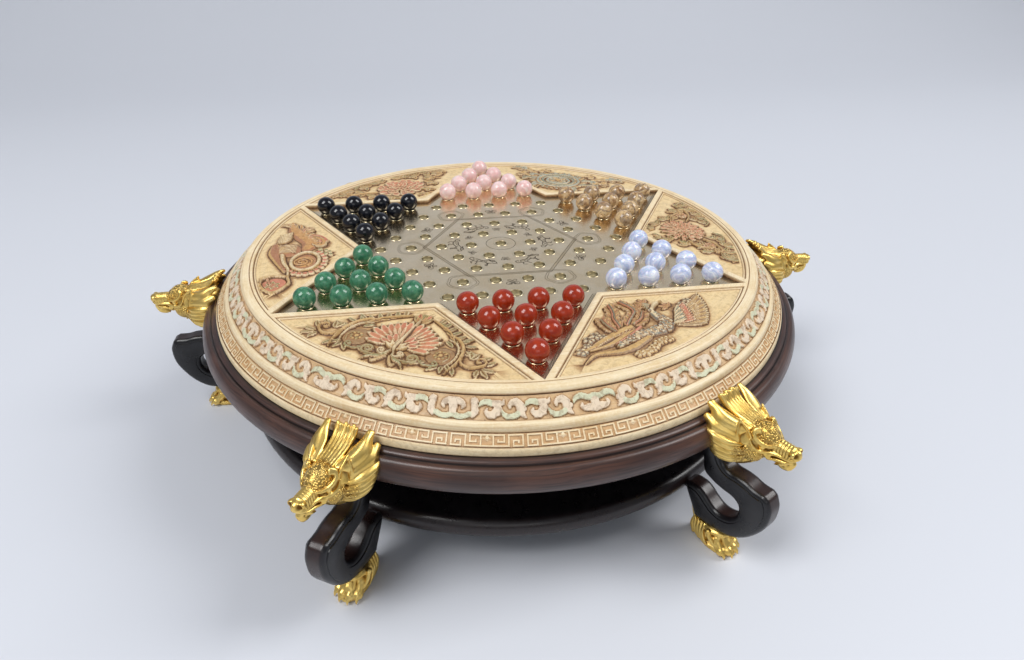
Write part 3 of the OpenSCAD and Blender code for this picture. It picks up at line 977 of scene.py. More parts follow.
def lotus(r):
    """A lotus fan between two scrolling vines."""
    for _ in r.mirrored():
        r.knob((30.5, -7), 9.2, 0.75, BROWN, None, 6)
        r.stroke(curl((30.5, -15), 0, 7.6, 1.0), [0.6, 0.5], 1.2, OLIVE)
        for i in range(9):
            r.knob(np.array((30.5, -7)) + polar(3.6, 40 * i), 1.3, 1.25, GOLD if i % 2 else OLIVE)
        r.knob((30.5, -7), 1.9, 1.5, GOLD)
        r.vine([(27, 15), (34, 13), (41, 4.5), (43.5, -9), (41, -24)], [0.5, 1.3, 1.3, 1.1, 0.3], 1.9, GOLD)
        r.vine([(28, 11), (35, 8), (39.5, 0), (40, -10), (37, -19)], [0.4, 0.8, 0.8, 0.3], 1.4, CHALK)
        r.vine([(42, -3), (46, -10), (53, -12), (59, -8)], [0.7, 1.0, 1.0, 0.7], 1.6, GOLD, (4.6, 1.0, 1))
        for at, angle, size in (((50, -3), 110, 9), ((50, -3), 60, 8), ((55, -2), 30, 8), ((60, -10), -10, 9),
                                ((60, -11), -50, 9.5), ((58, -12), -85, 8), ((47, 0), 150, 8),
                                ((60, -6), 35, 8)):
            r.petal(at, angle, size, 3.6, 1.4, OLIVE, CHALK, 0.15, vein=0.3)
        for i in range(6):
            at = np.array((13 + 4.2 * i, 27 - 3.4 * i))
            r.petal(at, 62 - 8 * i, 8.5, 3.8, 1.4, (OLIVE, LEAF)[i % 2], CHALK, 0.2, vein=0.3)
            r.petal(at, -10 - 6 * i, 7, 3.2, 1.3, (LEAF, CORAL)[i % 2], GOLD, -0.2, vein=0.3)
        r.vine([(8, 29), (17, 24), (26, 18), (33, 9)], [0.4, 0.8, 0.8, 0.5], 1.6, GOLD)
        for at, angle in (((36, 14), 20), ((40, 9), 0), ((43, 3), -15), ((38, -14), -60), ((36, -16), -85),
                          ((43, -16), -75), ((33, 5), 140), ((24, -16), -150), ((34, -18), -140)):
            r.petal(at, angle, 8, 3.2, 1.35, LEAF, CHALK, 0.18, vein=0.3)
        r.vine([(4, -21), (10, -22), (16, -21.5)], [0.6, 1.1, 1.0], 1.7, OLIVE, (4.4, 1.5, 1))
        r.vine([(20, -17), (25, -20), (31, -19)], [0.5, 0.9, 0.7], 1.4, LEAF, (2.6, 1.0, 1))
        r.vine([(1, -14), (4, -19.5), (7.5, -18)], [0.6, 0.9, 0.8], 1.9, CHALK, (2.4, 1.2, 1))
        r.stroke([(2, -18), (6, -22), (11, -24), (14.5, -28.5)], [0.8, 1.2, 1.0, 0.3], 1.6, LEAF, CHALK)
        r.stroke([(1.5, -20), (3.5, -24), (6.5, -27.5), (8.5, -26)], [0.8, 1.1, 0.9, 0.4], 1.6, GOLD, CHALK)
        for angle, length in ((-8, 23), (8, 26), (22, 28), (35, 28), (47, 27), (58, 27), (69, 28), (80, 28)):
            r.petal((0.5, -6), angle, length, 5.6, 1.9, CORAL if angle % 2 else SALMON, CHALK, 0.05, cup=0.6,
                    tip=1.5)
        for angle in (5, 30, 55):
            r.petal((1, -7), angle, 13, 4.6, 2.2, ROSE, CHALK, 0.1, cup=0.5, tip=1.3)
        for angle in (20, 50, 78):
            r.petal((0.5, -11), angle, 9, 3.2, 2.4, CHALK, GOLD, 0.1, cup=0.3)
        for angle, size, paint in ((38, 9, OLIVE), (62, 11, CORAL), (84, 12, LEAF)):
            r.petal((0.5, 23), angle, size, 4.2, 1.6, paint, GOLD, 0.12, vein=0.3)
    r.stroke([(0, -11), (0.2, 5), (0.4, 24)], [1.7, 1.3, 0.4], 2.5, CHALK)


def phoenix(r):
    """A long-tailed bird in flight among clouds."""
    for points in ([(-14, 4), (-26, 4), (-40, 3), (-54, 1), (-66, 3)],
                   [(-12, -2), (-26, -2), (-40, -3), (-56, -1)],
                   [(-14, -12), (-30, -14), (-42, -12), (-56, -6), (-68, -9)]):
        r.stroke(points, [2.6, 3.2, 2.6, 1.6, 0.5], 1.1, GOLD, BROWN)
    for i in range(26):
        t = i / 25
        at = np.array((blend(-12, -44, t), 1.5 + 2 * math.sin(3 * t)))
        r.petal(at, 168 + 24 * (i % 2), 8, 2.4, 1.3, (BROWN, RUST, GOLD)[i % 3], CHALK, 0.1)
    r.stroke([(-10, -1), (-22, -4), (-38, -6)], [1.4, 1.2, 0.6], 1.8, ROSE)
    quills = (([(-27, 5), (-26.5, 14), (-24, 22)], 1), ([(-21.5, 7), (-17, 17), (-11, 24), (-6, 34)], -1),
              ([(-15, 6), (-8, 10), (1, 15), (3, 22), (2, 31)], -1), ([(-11, 4), (-2, 6), (6, 12)], 1))
    for line, side in quills:
        path = smooth_line(line, 5)
        for i in range(1, len(path)):
            heading = heading_of(path[i] - path[i - 1])
            paint = (BROWN, RUST, GOLD)[i % 3]
            for turn in (38, -38):
                r.petal(path[i - 1], heading + turn, 7.5, 2.3, 1.15, paint, GOLD, cup=0.2)
        for i in range(2, len(path), 3):
            heading = heading_of(path[i] - path[i - 1])
            for turn in (70, -70):
                r.knob(path[i] + polar(4.6, heading + turn), 0.9, 1.5, RUST, CHALK)
        shift = np.array((0.75 * side, 0))
        r.stroke(path + shift, [0.7, 0.7, 0.4], 2.0, ROSE, None, steps=1)
        r.stroke(path - shift, [0.7, 0.7, 0.4], 2.0, TEAL, None, steps=1)
    for i in range(15):
        t = i / 14
        at = np.array((blend(12, 26, t), blend(-13, -5, t)))
        r.petal(at, blend(-36, 16, t), blend(22, 35, t), 3.6, 1.3, (BROWN, GOLD)[i % 2], CHALK, 0.06, cup=0.4,
                tip=1.3)
    for i in range(9):
        t = i / 8
        at = np.array((blend(12, 23, t), blend(-11, -3, t)))
        r.petal(at, blend(-24, 18, t), 17, 3.4, 1.8, ROSE, CHALK, 0.05, cup=0.35, tip=1.2)
        r.petal(at, blend(-18, 30, t), 11, 3.0, 2.2, (CHALK, TEAL)[i % 2], CHALK, 0.05, cup=0.35)
    body = [(17, 12), (12, 9), (10, 1), (10, -6), (3, -11), (-8, -9), (-20, -7), (-36, -8)]
    widths = [1.5, 2.2, 3.8, 5.2, 5.4, 4.6, 4.0, 2.2]
    r.stroke(body, widths, 1.7, CHALK, SLATE)
    r.scales(body, widths, 1.7, (SLATE, TEAL, SLATE, CHALK, SLATE), 3.6)
    for side in (-1, 1):
        for i in range(9):
            at = np.array((blend(6, -34, i / 8), blend(-10, -7.5, i / 8) + side * blend(4.6, 2.2, i / 8)))
            r.petal(at, 180 + 26 * side, 6.0, 2.2, 1.9, (SLATE, TEAL)[i % 2], CHALK, 0.15)
    r.stroke([(15, 11), (19, 13.2), (22, 13)], [1.5, 1.9, 1.3], 2.6, CHALK)
    r.stroke([(21.5, 13), (24.5, 13.6), (26.5, 12.4)], [0.9, 0.6, 0.2], 2.4, GOLD)
    r.knob((20.3, 13.6), 0.5, 3.0, SLATE)
    for angle in (100, 125, 150, 175):
        r.petal((17, 13.5), angle, 7, 2.0, 2.0, TEAL, CHALK, 0.25)
    for at in ((16.5, 20), (26.5, 6.5), (10, 17)):
        for angle in (20, 70, 120, 170):
            r.petal(at, angle, 6.5, 2.6, 1.3, RUST, GOLD, 0.3)
    for at, size in (((-61, 1.5), 4.2), ((-54, 4), 3.2), ((-48, 9), 4.2), ((-41, 10), 4.4), ((-38, 6), 3.0),
                     ((37, 2), 4.0), ((44, 4), 3.6), ((33, -1), 3.2)):
        r.cloud(at, size, 1.5, CHALK, SLATE, 5, 30)
    for i in range(7):
        r.cloud((-33 + 4.6 * i, -22 - 1.6 * math.sin(i)), 3.6, 1.5, CHALK, GOLD, 5, 40 * i)


def blossom(r, at, rings, height, colours, squeeze=0.85):
    """A full flower: rings of petals, each (radius, count, length, width), from the outside in."""
    for n, (radius, count, length, width) in enumerate(rings):
        for i in range(count):
            angle = 360 / count * (i + 0.5 * (n % 2)) + 7 * math.sin(3 * i + n)
            start = np.asarray(at) + polar(radius, angle) * (1, squeeze)
            r.petal(start, angle, length * (1 - 0.15 * abs(math.sin(math.radians(angle)))), width,
                    height + 0.28 * n, colours[(i + n) % len(colours)], CHALK, 0.12 * (-1) ** i, tip=1.3)


def foliage(r, groups, length, width, colours):
    """Leaves in groups of (x, y, first angle, number)."""
    for n, (x, y, first, count) in enumerate(groups):
        for i in range(count):
            rim = CHALK if (i + n) % 3 == 0 else GOLD
            r.petal((x, y), first + 34 * i, length * (1 - 0.08 * (i % 3)), width, 1.35 + 0.1 * (i % 2),
                    colours[(i + n) % len(colours)], rim, 0.16 * (-1) ** i, vein=0.35)


def chrysanthemum(r):
    """A shaggy flower among curled leaves."""
    groups = [(x * s, y, a, n) for s in (1, -1) for x, y, a, n in (
        (17, 22, -30, 5), (27, 11, -60, 6), (31, -2, -90, 7), (43, -3, -70, 6), (45, -15, -120, 7),
        (56, -14, -80, 6), (20, -17, -160, 7), (33, -19, -150, 6), (9, 28, 20, 4), (60, -20, -30, 5))]
    foliage(r, groups, 9.0, 3.6, (OLIVE, LEAF, SAGE, BROWN))
    for _ in r.mirrored():
        r.vine([(20, -6), (30, -12), (42, -13)], [0.7, 1.0, 0.7], 1.7, GOLD, (3.8, 1.2, 1))
        r.vine([(22, 8), (32, 4), (38, -4)], [0.6, 0.9, 0.6], 1.6, GOLD, (3.0, 1.2, -1))
        r.vine([(46, -10), (56, -9), (62, -15)], [0.5, 0.8, 0.5], 1.5, SAGE, (2.6, 1.1, -1))
        r.vine([(8, -19), (14, -24), (22, -23)], [0.5, 0.9, 0.7], 1.5, SAGE, (2.8, 1.2, 1))
        blossom(r, (33, -6), [(0, 9, 6.5, 3.0), (0, 7, 4.2, 2.6)], 1.7, (CORAL, RUST))
    rings = [(11, 30, 11.5, 2.6), (7, 26, 10.5, 2.5), (3.5, 20, 9, 2.3), (1, 14, 7, 2.1), (0, 9, 4, 2)]
    blossom(r, (1, 5), rings, 1.5, (SALMON, CORAL, SALMON))


def peony(r):
    """A broad flower with ruffled petals and dark leaves."""
    groups = [(x * s, y, a, n) for s in (1, -1) for x, y, a, n in (
        (20, 20, -40, 5), (33, 8, -70, 6), (40, -6, -90, 7), (52, -12, -80, 6), (28, -18, -150, 7),
        (12, -22, -170, 6), (60, -17, -60, 5), (10, 29, 10, 4), (44, -18, -120, 6))]
    foliage(r, groups, 10.0, 4.6, (OLIVE, BROWN, LEAF, GOLD))
    for _ in r.mirrored():
        r.vine([(28, 2), (40, -2), (52, -6)], [0.8, 1.0, 0.7], 1.6, GOLD, (3.2, 1.2, -1))
        r.vine([(16, -18), (28, -24), (40, -22)], [0.6, 1.0, 0.6], 1.6, OLIVE, (2.8, 1.2, 1))
    rings = [(12, 15, 13, 8.5), (8, 13, 12, 8), (5, 10, 10, 7), (2, 8, 8, 5.5), (0, 6, 5, 4)]
    blossom(r, (2, 4), rings, 1.5, (SALMON, CORAL, SALMON, ROSE), 0.8)


def medallion(r):
    """Beaded rings and petals round a boss, among scrolls."""
    middle = np.array((2, 6))
    r.knob(middle, 25, 0.5, BROWN, None, 6, 1.2)
    for i in range(34):
        angle = 360 / 34 * i
        r.petal(np.array((2, 5)) + polar(19, angle) * (1.15, 0.9), angle + 20, 9, 3.2, 1.3,
                (SKY, TEAL, GOLD)[i % 3], CHALK, 0.2)
    for radius, paint in ((19, SKY), (14.5, TEAL), (10, SKY)):
        ring = [middle + polar(radius, 12 * i) * (1.12, 0.92) for i in range(31)]
        r.stroke(ring, [1.7, 1.7], 1.7, paint, CHALK, steps=2)
    for i in range(48):
        r.knob(middle + polar(16.8, 7.5 * i) * (1.12, 0.92), 0.85, 1.9, CHALK)
    for i in range(12):
        r.petal(middle, 30 * i, 9, 4, 2.0, (TEAL, GOLD, SKY)[i % 3], CHALK, 0.35)
    r.knob(middle, 3, 2.5, GOLD)
    scrolls = ((30, -3, -20), (38, -10, -40), (34, 8, 10), (46, -14, -30), (24, -17, -80), (54, -17, -20),
               (18, 24, 60), (42, 0, 0))
    for _ in r.mirrored():
        for n, (x, y, a) in enumerate(scrolls):
            stem = [(x - 8, y + 3), (x - 3, y), (x + 2, y - 1)]
            r.vine(stem, [1.0, 1.6, 1.2], 1.6, (SKY, GOLD, TEAL)[n % 3],
                   (3.2, 1.1, -1 if n % 2 else 1), CHALK)
            r.fan((x, y), (a, a + 40, a - 40), 8, 3.4, 1.3, (GOLD, BROWN, SKY)[n % 3], CHALK, vein=0.3)


def beast(r):
    """A crouching beast with a long mane, beside a beaded disc."""
    r.stroke([(-60, -12), (-44, -8), (-30, 2), (-18, 9), (-6, 6)], [1.5, 6, 9, 9, 5], 1.1, AMBER, RUST)
    r.stroke([(-14, -20), (0, -19), (16, -13), (34, -6)], [3.5, 5, 4, 2.0], 1.2, RUST, GOLD)
    r.knob((-4, -9), 10.5, 1.5, GOLD, RUST, 3, 1.15)
    for i in range(9):
        hair = [(-10 + 1.6 * i, -2), (-11 + 1.6 * i, -8), (-12 + 1.8 * i, -16)]
        r.stroke(hair, [0.35, 0.7, 0.3], 1.9, CHALK)
    for i in range(22):
        t = i / 21
        at = np.array((blend(-8, -46, t), blend(10, -6, t) + 2 * math.sin(9 * t)))
        r.petal(at, 130 + 40 * math.sin(2.3 * i), 11, 3.6, 1.9, (AMBER, RUST, ROSE, GOLD)[i % 4], CHALK,
                0.3 * (-1) ** i)
    for i in range(9):
        r.petal((-42 - 1.6 * i, -7 - 0.8 * i), 178 + 9 * i, 14, 3.0, 1.6, (GOLD, RUST)[i % 2], CHALK, 0.1)
    for i in range(7):
        fold = [(-38 + 2.4 * i, -9), (-34 + 2.5 * i, -13), (-32 + 2.6 * i, -19)]
        r.stroke(fold, [0.5, 1.1, 0.5], 1.9, CHALK, GOLD)
    r.vine([(-24, 12), (-18, 18), (-12, 19)], [1.6, 2.4, 1.4], 2.1, AMBER, (4.0, 1.1, -1), CHALK)
    r.vine([(-30, 8), (-27, 15), (-20, 20)], [1.2, 2.0, 1.4], 1.9, ROSE, (3.4, 1.1, -1), CHALK)
    r.knob((-12, 12), 3.2, 2.3, AMBER, CHALK)
    for at in ((1, 22), (4, 25), (7, 22), (2, 18), (9, 26), (-2, 17)):
        r.knob(at, 2.2, 1.9, LEAF, CHALK)
    disc = np.array((20, 7.5))
    for i in range(13):
        r.knob(disc + polar(20.5, -60 + 17 * i) * (1, 0.72), 3.0, 1.6, ROSE, CHALK)
    ring = [disc + polar(15.6, 12 * i) * (1, 0.68) for i in range(31)]
    r.knob(disc, 10.8, 1.0, AMBER, RUST, 6, 1.4)
    r.stroke(ring, [1.9, 1.9], 2.3, CHALK, GOLD, steps=2)
    for i in range(40):
        r.knob(disc + polar(15.6, 9 * i) * (1, 0.68), 0.7, 2.7, CHALK)
    r.stroke(curl((29, 5), 90, 8.5, 2.0), [1.2, 0.8], 1.7, AMBER, GOLD)
    r.stroke([(6, -12), (20, -9), (33, -4), (42, -3)], [2.2, 2.2, 1.8, 1.0], 2.0, CHALK, AMBER)
    for i in range(12):
        r.knob((8 + 2.7 * i, -11.5 + 0.75 * i), 1.2, 2.3, GOLD, CHALK)
    case = [(44, -3), (56, -1), (68, -10), (60, -19), (47, -22), (42, -15), (44, -3)]
    r.knob((55, -11.5), 9.5, 1.0, ROSE, None, 4, 1.15)
    r.stroke(case, [1.2, 1.2], 1.8, GOLD, CHALK)
    r.fan((57, -12), range(0, 360, 60), 6, 3.2, 1.9, LEAF, CHALK)
    for i in range(6):
        r.knob((47 + 2.0 * i, -17 + 0.7 * i), 1.2, 1.7, ROSE, CHALK)


PANELS = [chrysanthemum, medallion, peony, beast, lotus, phoenix]      # of sides 0 to 5
FIELD_Z = DIVIDER_Z - 2      # the floor of a panel
FIELD_R = TIP_R - 3          # how far out it reaches
DIVIDER_W = 7.0
PANEL_MID = 165.0            # radius where a panel's drawing has its origin
CARVED_R = 131.0             # radius of the carving's inner edge
CARVED_HALF = 69.0           # half its greatest width
CARVED_GAP = 1.2             # between the carving and the floor's edge
CARVED_RISE = 1.35           # height of the carving over the drawn heights


def panel_loop(inset, radius, z):
    """Border of one panel at azimuth 0, set back from the star's edges and bounded by a circle."""
    straight, arc = 30, 90
    corner = CORNER_R + inset * 2 / math.sqrt(3)
    reach = -corner / 2 + math.sqrt(corner ** 2 / 4 - corner ** 2 + radius ** 2)
    ends = [np.array((corner, 0)) + reach * polar(1, a) for a in (-60, 60)]
    swing = math.degrees(math.atan2(ends[1][1], ends[1][0]))
    points = [blend(np.array((corner, 0.0)), ends[0], i / straight) for i in range(straight)]
    points += [polar(radius, blend(-swing, swing, i / arc)) for i in range(arc)]
    points += [blend(ends[1], np.array((corner, 0.0)), i / straight) for i in range(straight)]
    return np.column_stack([np.array(points), np.full(len(points), z)])


# Divider and ring moulding round a panel: inset from the star's edge, drop below the top, shade
DIVIDER = [(DIVIDER_W, 2.0, 0.1), (DIVIDER_W - 0.1, 1.98, 0.5), (6.75, 1.75, 0.5), (6.5, 1.15, 0.1),
           (6.1, 0.85, 0.0), (5.7, 1.0, 0.15), (5.4, 1.5, 0.7), (5.1, 1.6, 0.85), (4.8, 1.4, 0.6),
           (4.6, 0.5, 0.2), (4.35, 0.12, 0.0), (4.0, 0.0, 0.0)]


def panel_grid():
    """Points of the carved part of a panel: x to the right, y towards the middle of the board."""
    t = np.linspace(0, 1, 122)[:, None]
    s = np.linspace(-1, 1, 236)[None, :]
    radius = blend(CARVED_R, FIELD_R - CARVED_GAP, t)
    room = radius - CORNER_R - DIVIDER_W * 2 / math.sqrt(3) - CARVED_GAP
    half = np.minimum(CARVED_HALF, room * math.sqrt(3))
    x = s * half
    bow = radius - np.sqrt(radius ** 2 - x ** 2)
    return x, PANEL_MID - (radius - bow * t)


def carved_panels(form):
    """Six carved panels, each on a flat floor inside a divider with a ring moulding."""
    x, y = panel_grid()
    rows, columns = x.shape
    # The carving sinks to the floor along its own edge
    inner = soften(np.pad(np.ones((rows - 2, columns - 2)), 1), 2)
    edge = ((inner - 0.72) / 0.28).clip(0, 1).reshape(-1)
    border = np.concatenate([np.arange(columns), columns * np.arange(1, rows) + columns - 1,
                             (rows - 1) * columns + np.arange(columns - 2, -1, -1),
                             columns * np.arange(rows - 2, 0, -1)])
    out, across = PANEL_MID - y.reshape(-1), x.reshape(-1)
    rim = panel_loop(DIVIDER_W, FIELD_R, FIELD_Z)
    flat, flat_tris = fill([[tuple(p[:2]) for p in rim], list(zip(out[border], across[border]))], FIELD_Z)
    levels = [panel_loop(inset, FIELD_R + DIVIDER_W - inset, DIVIDER_Z - drop) for inset, drop, _ in DIVIDER]
    mould = np.stack(levels, 1).reshape(-1, 3)
    mould_shade = np.tile([d[2] for d in DIVIDER], len(rim))
    # The moulding has the floor's colour where they meet, and none of it above
    bare = (*FIELD_STAIN[:3], 0.0)
    mould_tint = np.tile([FIELD_STAIN] + [bare] * (len(DIVIDER) - 1), (len(rim), 1))
    for k, draw in enumerate(PANELS):
        relief = Relief(x, y)
        draw(relief)
        height, shade, tint = relief.field()
        height *= edge
        spin = side_turn(k).T
        co = np.stack([out, across, FIELD_Z + height * CARVED_RISE], 1)
        form.add(co @ spin, [grid_faces(rows, columns)[:, ::-1]], shade, tint)
        form.add(flat @ spin, [flat_tris], 0.1, FIELD_STAIN)
        form.add(mould @ spin, [grid_faces(len(rim), len(DIVIDER), True)], mould_shade, mould_tint)


# ---------------------------------------------------------------- bands round the side

BAND_SECTOR = 84.4      # millimetres of a 22.5 degree sector, measured along the band
ARM_GROWTH = 0.48       # by which every scroll is wider than its drawn line
SCROLL_RISE = 1.45      # height of the scrolls over their ground
PINK, PALE_GREEN, EARTH = rgb(230, 210, 184), rgb(210, 212, 180), rgb(212, 162, 104)


def scroll_field(columns, rows, depth):
    """Cloud scrolls over one sector, from the middle of one motif to the middle of the next."""
    u = np.linspace(0, BAND_SECTOR, columns)[:, None] + np.zeros((1, rows))
    v = np.linspace(0, depth, rows)[None, :] + np.zeros((columns, 1))
    best = {"pink": np.full(u.shape, 9.0), "green": np.full(u.shape, 9.0)}

    def arm(paint, points, widths):
        line = smooth_line(points, 6)
        w = spread(widths, len(line))
        for a, b, wa, wb in zip(line, line[1:], w, w[1:]):
            d = b - a
            t = np.clip(((u - a[0]) * d[0] + (v - a[1]) * d[1]) / max(d @ d, 1e-9), 0, 1)
            reach = wa + (wb - wa) * t + ARM_GROWTH
            gap = np.hypot(u - a[0] - t * d[0], v - a[1] - t * d[1]) - reach
            best[paint] = np.minimum(best[paint], gap)

    def motif(at, arms, beads):
        """Arms of (paint, points, half widths) and beads of (paint, x, y, radius), moved along by at."""
        for paint, points, widths in arms:
            arm(paint, [(at + x, y) for x, y in points], widths)
        for paint, x, y, radius in beads:
            arm(paint, [(at + x, y), (at + x + 0.2, y)], [radius, radius])

    # A green arm over a pink bulb that curls in under it
    hanging = [("green", [(0.4, 5.9), (1.8, 4.2), (4.2, 3.5), (7.6, 4.2)], [0.4, 1.3, 1.5, 1.7]),
               ("green", [(2.6, 3.6), (3.4, 3.2)], [1.2, 1.2]),
               ("green", [(5.2, 3.1), (6.0, 3.1)], [1.2, 1.2]),
               ("pink", [(8.6, 4.4), (10.9, 5.4), (10.9, 8.2), (8.8, 10.6), (6.2, 10.8), (4.5, 9.2),
                         (4.9, 7.5)], [1.6, 1.9, 2.2, 2.1, 1.7, 1.0, 0.35]),
               ("pink", [(8.6, 4.0), (11.4, 3.8), (14.0, 4.2), (15.0, 2.3)], [1.5, 1.4, 1.1, 0.25])]
    hanging_beads = [("pink", 12.4, 7.6, 1.2), ("pink", 11.2, 10.6, 1.1), ("pink", 8.6, 12.2, 1.0),
                     ("pink", 6.0, 12.0, 0.9)]
    # A pink bulb with a hook over a green trough, and a foot at its outer end
    standing = [("green", [(0.4, 8.4), (1.9, 10.9), (5.0, 12.0), (8.6, 11.2), (10.8, 9.6)],
                 [0.4, 1.2, 1.5, 1.5, 1.6]),
                ("pink", [(5.2, 7.2), (5.0, 5.4), (7.0, 3.6), (9.8, 4.2), (11.0, 6.6), (11.6, 9.6),
                          (14.2, 12.8)], [0.35, 1.0, 1.7, 2.1, 2.2, 1.9, 0.4])]
    standing_beads = [("green", 3.6, 12.4, 1.1), ("green", 6.2, 12.6, 1.1), ("pink", 8.8, 2.4, 1.1),
                      ("pink", 12.2, 5.2, 1.1), ("pink", 13.4, 7.8, 1.2)]

    # Half of the standing motif with two hooks
    arm("pink", [(0, 4.2), (2.6, 3.6), (5.2, 4.6), (6.2, 6.4), (5.0, 7.9)], [2.4, 2.0, 1.6, 0.9, 0.25])
    arm("pink", [(0, 4.0), (0, 9.6)], [2.6, 2.0])
    arm("green", [(0, 11.2), (3.4, 12.4), (6.8, 12.2), (9.8, 10.8)], [1.4, 1.5, 1.4, 1.5])
    arm("pink", [(12.0, 3.4), (12.8, 6.6), (13.0, 9.4), (11.6, 12.6)], [1.6, 1.9, 2.0, 0.5])
    arm("pink", [(11.0, 2.6), (12.6, 2.4), (14.0, 3.4)], [0.8, 1.2, 0.9])
    for at in (15.0, 42.0):
        motif(at, hanging, hanging_beads)
    for at in (28.2, 55.8):
        motif(at, standing, standing_beads)
    # Half of the hanging motif: green shoulders over one broad bulb
    arm("green", [(71.4, 6.4), (73.0, 4.0), (76.6, 3.2), (80.4, 4.6), (84.4, 4.4)], [0.4, 1.4, 1.6, 1.6, 1.9])
    arm("pink", [(76.4, 7.6), (76.2, 9.4), (78.6, 10.6), (84.4, 10.4)], [0.35, 1.0, 1.7, 2.6])
    arm("pink", [(84.4, 5.6), (84.4, 11.0)], [2.6, 2.4])
    sd = np.minimum(best["pink"], best["green"])
    up = ease(-sd, 0.0, 0.42)
    green = best["green"] < best["pink"]
    tint = np.zeros(u.shape + (4,))
    tint[..., :3] = np.where((sd > -0.18)[..., None], EARTH, np.where(green[..., None], PALE_GREEN, PINK))
    tint[..., 3] = np.where(sd < -0.18, 0.92, 0.5)
    # Painted shade on the ground beside the scrolls, darkest against them
    near = soften(up, 3)
    shade = np.clip(0.16 + 1.5 * near, 0, 1) * (1 - up) * (sd > -0.2)
    return up, shade, tint


def slope(start, end):
    """Length of a sloping band's profile, its direction, and the direction that points out of the band."""
    depth = np.linalg.norm(end - start)
    along = (end - start) / depth
    return depth, along, np.array((-along[1], along[0]))


def scroll_band(form):
    """The sloping band of cloud scrolls: sixteen sectors, every second one mirrored."""
    start, end = np.array((TOP_R - 21.9, DIVIDER_Z - 3.9)), np.array((TOP_R - 12.1, DIVIDER_Z - 13.9))
    depth, _, lift = slope(start, end)
    columns, rows = 172, 29
    up, shade, tint = scroll_field(columns, rows, depth)
    t = np.linspace(0, 1, rows)
    ground = start + (end - start) * t[:, None] - lift * 0.75
    ground -= lift * 0.25 * np.sin(math.pi * t)[:, None]
    angles, heights, shades, tints = [], [], [], []
    span = np.linspace(0, 22.5, columns)
    for k in range(8):
        middle = 30 + 45 * k
        angles += [middle + span[:-1], middle + 45 - span[:0:-1]]
        heights += [up[:-1], up[:0:-1]]
        shades += [shade[:-1], shade[:0:-1]]
        tints += [tint[:-1], tint[:0:-1]]
    angle = np.radians(np.concatenate(angles))
    profile = ground[None] + lift * (np.concatenate(heights) * SCROLL_RISE)[..., None]
    form.add(wrapped(angle, profile), [grid_faces(len(angle), rows, True)],
             np.concatenate(shades), np.concatenate(tints))
    return ground


FRET_HALF = 22.1        # millimetres of half a repeat of the key pattern
FRET_START = 1.7        # azimuth of the first dot, in degrees
FRET_TOP, FRET_FOOT = 1.0, 7.3
FRET_REPEATS = 32
FRET_RISE = 0.8         # height of the keys over their ground
FRET_LINES = [
    ((0, FRET_TOP), (9.9, FRET_TOP)), ((3.65, FRET_TOP), (3.65, FRET_FOOT)), ((9.9, FRET_TOP), (9.9, 4.9)),
    ((9.9, 4.9), (6.4, 4.9)), ((6.4, 4.9), (6.4, 3.9)), ((0, FRET_FOOT), (12.5, FRET_FOOT)),
    ((12.5, FRET_FOOT), (12.5, FRET_TOP)), ((12.5, FRET_TOP), (20.7, FRET_TOP)),
    ((20.7, FRET_TOP), (20.7, FRET_FOOT)), ((20.7, FRET_FOOT), (15.2, FRET_FOOT)),
    ((15.2, FRET_FOOT), (15.2, 4.3)), ((15.2, 4.3), (18.2, 4.3)), ((18.2, 4.3), (18.2, 5.5)),
]


def fret_band(form):
    """Greek keys in mirrored pairs, with a dot between every second pair."""
    start, end = np.array((TOP_R - 7.9, DIVIDER_Z - 20.1)), np.array((TOP_R - 1.6, DIVIDER_Z - 25.2))
    depth, along, lift = slope(start, end)
    foot, top = 0.62, 0.40      # half widths of a line at its foot and its top

    def cuts(axis, extra, limit):
        """Where the mesh needs an edge: at both sides of every line, and in the extra places."""
        lines = {corner[axis] for line in FRET_LINES for corner in line}
        places = {round(c + d, 3) for c in lines for d in (-foot, -top, top, foot)} | extra
        return np.array([c for c in sorted(places) if 0 <= c <= limit])

    across = cuts(0, {0.0, 0.55, 1.0, 1.3, FRET_HALF}, FRET_HALF)
    down = cuts(1, {0.0, 1.9, 2.4, 2.9, depth}, depth)
    u, v = across[:, None], down[None, :]
    gap = np.full((len(across), len(down)), 9.0)
    for (ax, ay), (bx, by) in FRET_LINES:
        gx = np.maximum(min(ax, bx) - u, u - max(ax, bx)).clip(0)
        gy = np.maximum(min(ay, by) - v, v - max(ay, by)).clip(0)
        gap = np.minimum(gap, np.maximum(gx + 0 * gy, gy + 0 * gx))
    up = np.clip((foot - gap) / (foot - top), 0, 1)
    dot = np.clip((1.35 - np.hypot(u, v - 2.5)) / 0.4, 0, 1)
    slant = np.clip((0.5 - np.abs(v - 1.2 - (3.4 - u) * 0.9) / 1.35) / 0.25, 0, 1) * (u < 3.4) * 0.5
    up = np.maximum(np.maximum(up, dot), slant)
    repeat = 360 / FRET_REPEATS
    turn = repeat / (2 * FRET_HALF)
    both = np.concatenate([-across[:0:-1], across[:-1]])
    rise = np.concatenate([up[:0:-1], up[:-1]])
    ground = start + along * down[:, None] - lift * 0.62
    angle = np.radians(np.concatenate([FRET_START + repeat * k + both * turn for k in range(FRET_REPEATS)]))
    height = np.tile(rise, (FRET_REPEATS, 1))
    profile = ground[None] + lift * (height * FRET_RISE)[..., None]
    paint = np.zeros(height.shape + (4,))
    paint[:] = (*EARTH, 0.6)
    paint[..., 3] *= 1 - height
    # The ground between the keys is coloured earth and darkened with painted shade
    form.add(wrapped(angle, profile), [grid_faces(len(angle), len(down), True)], 0.3 * (1 - height), paint)
    return ground


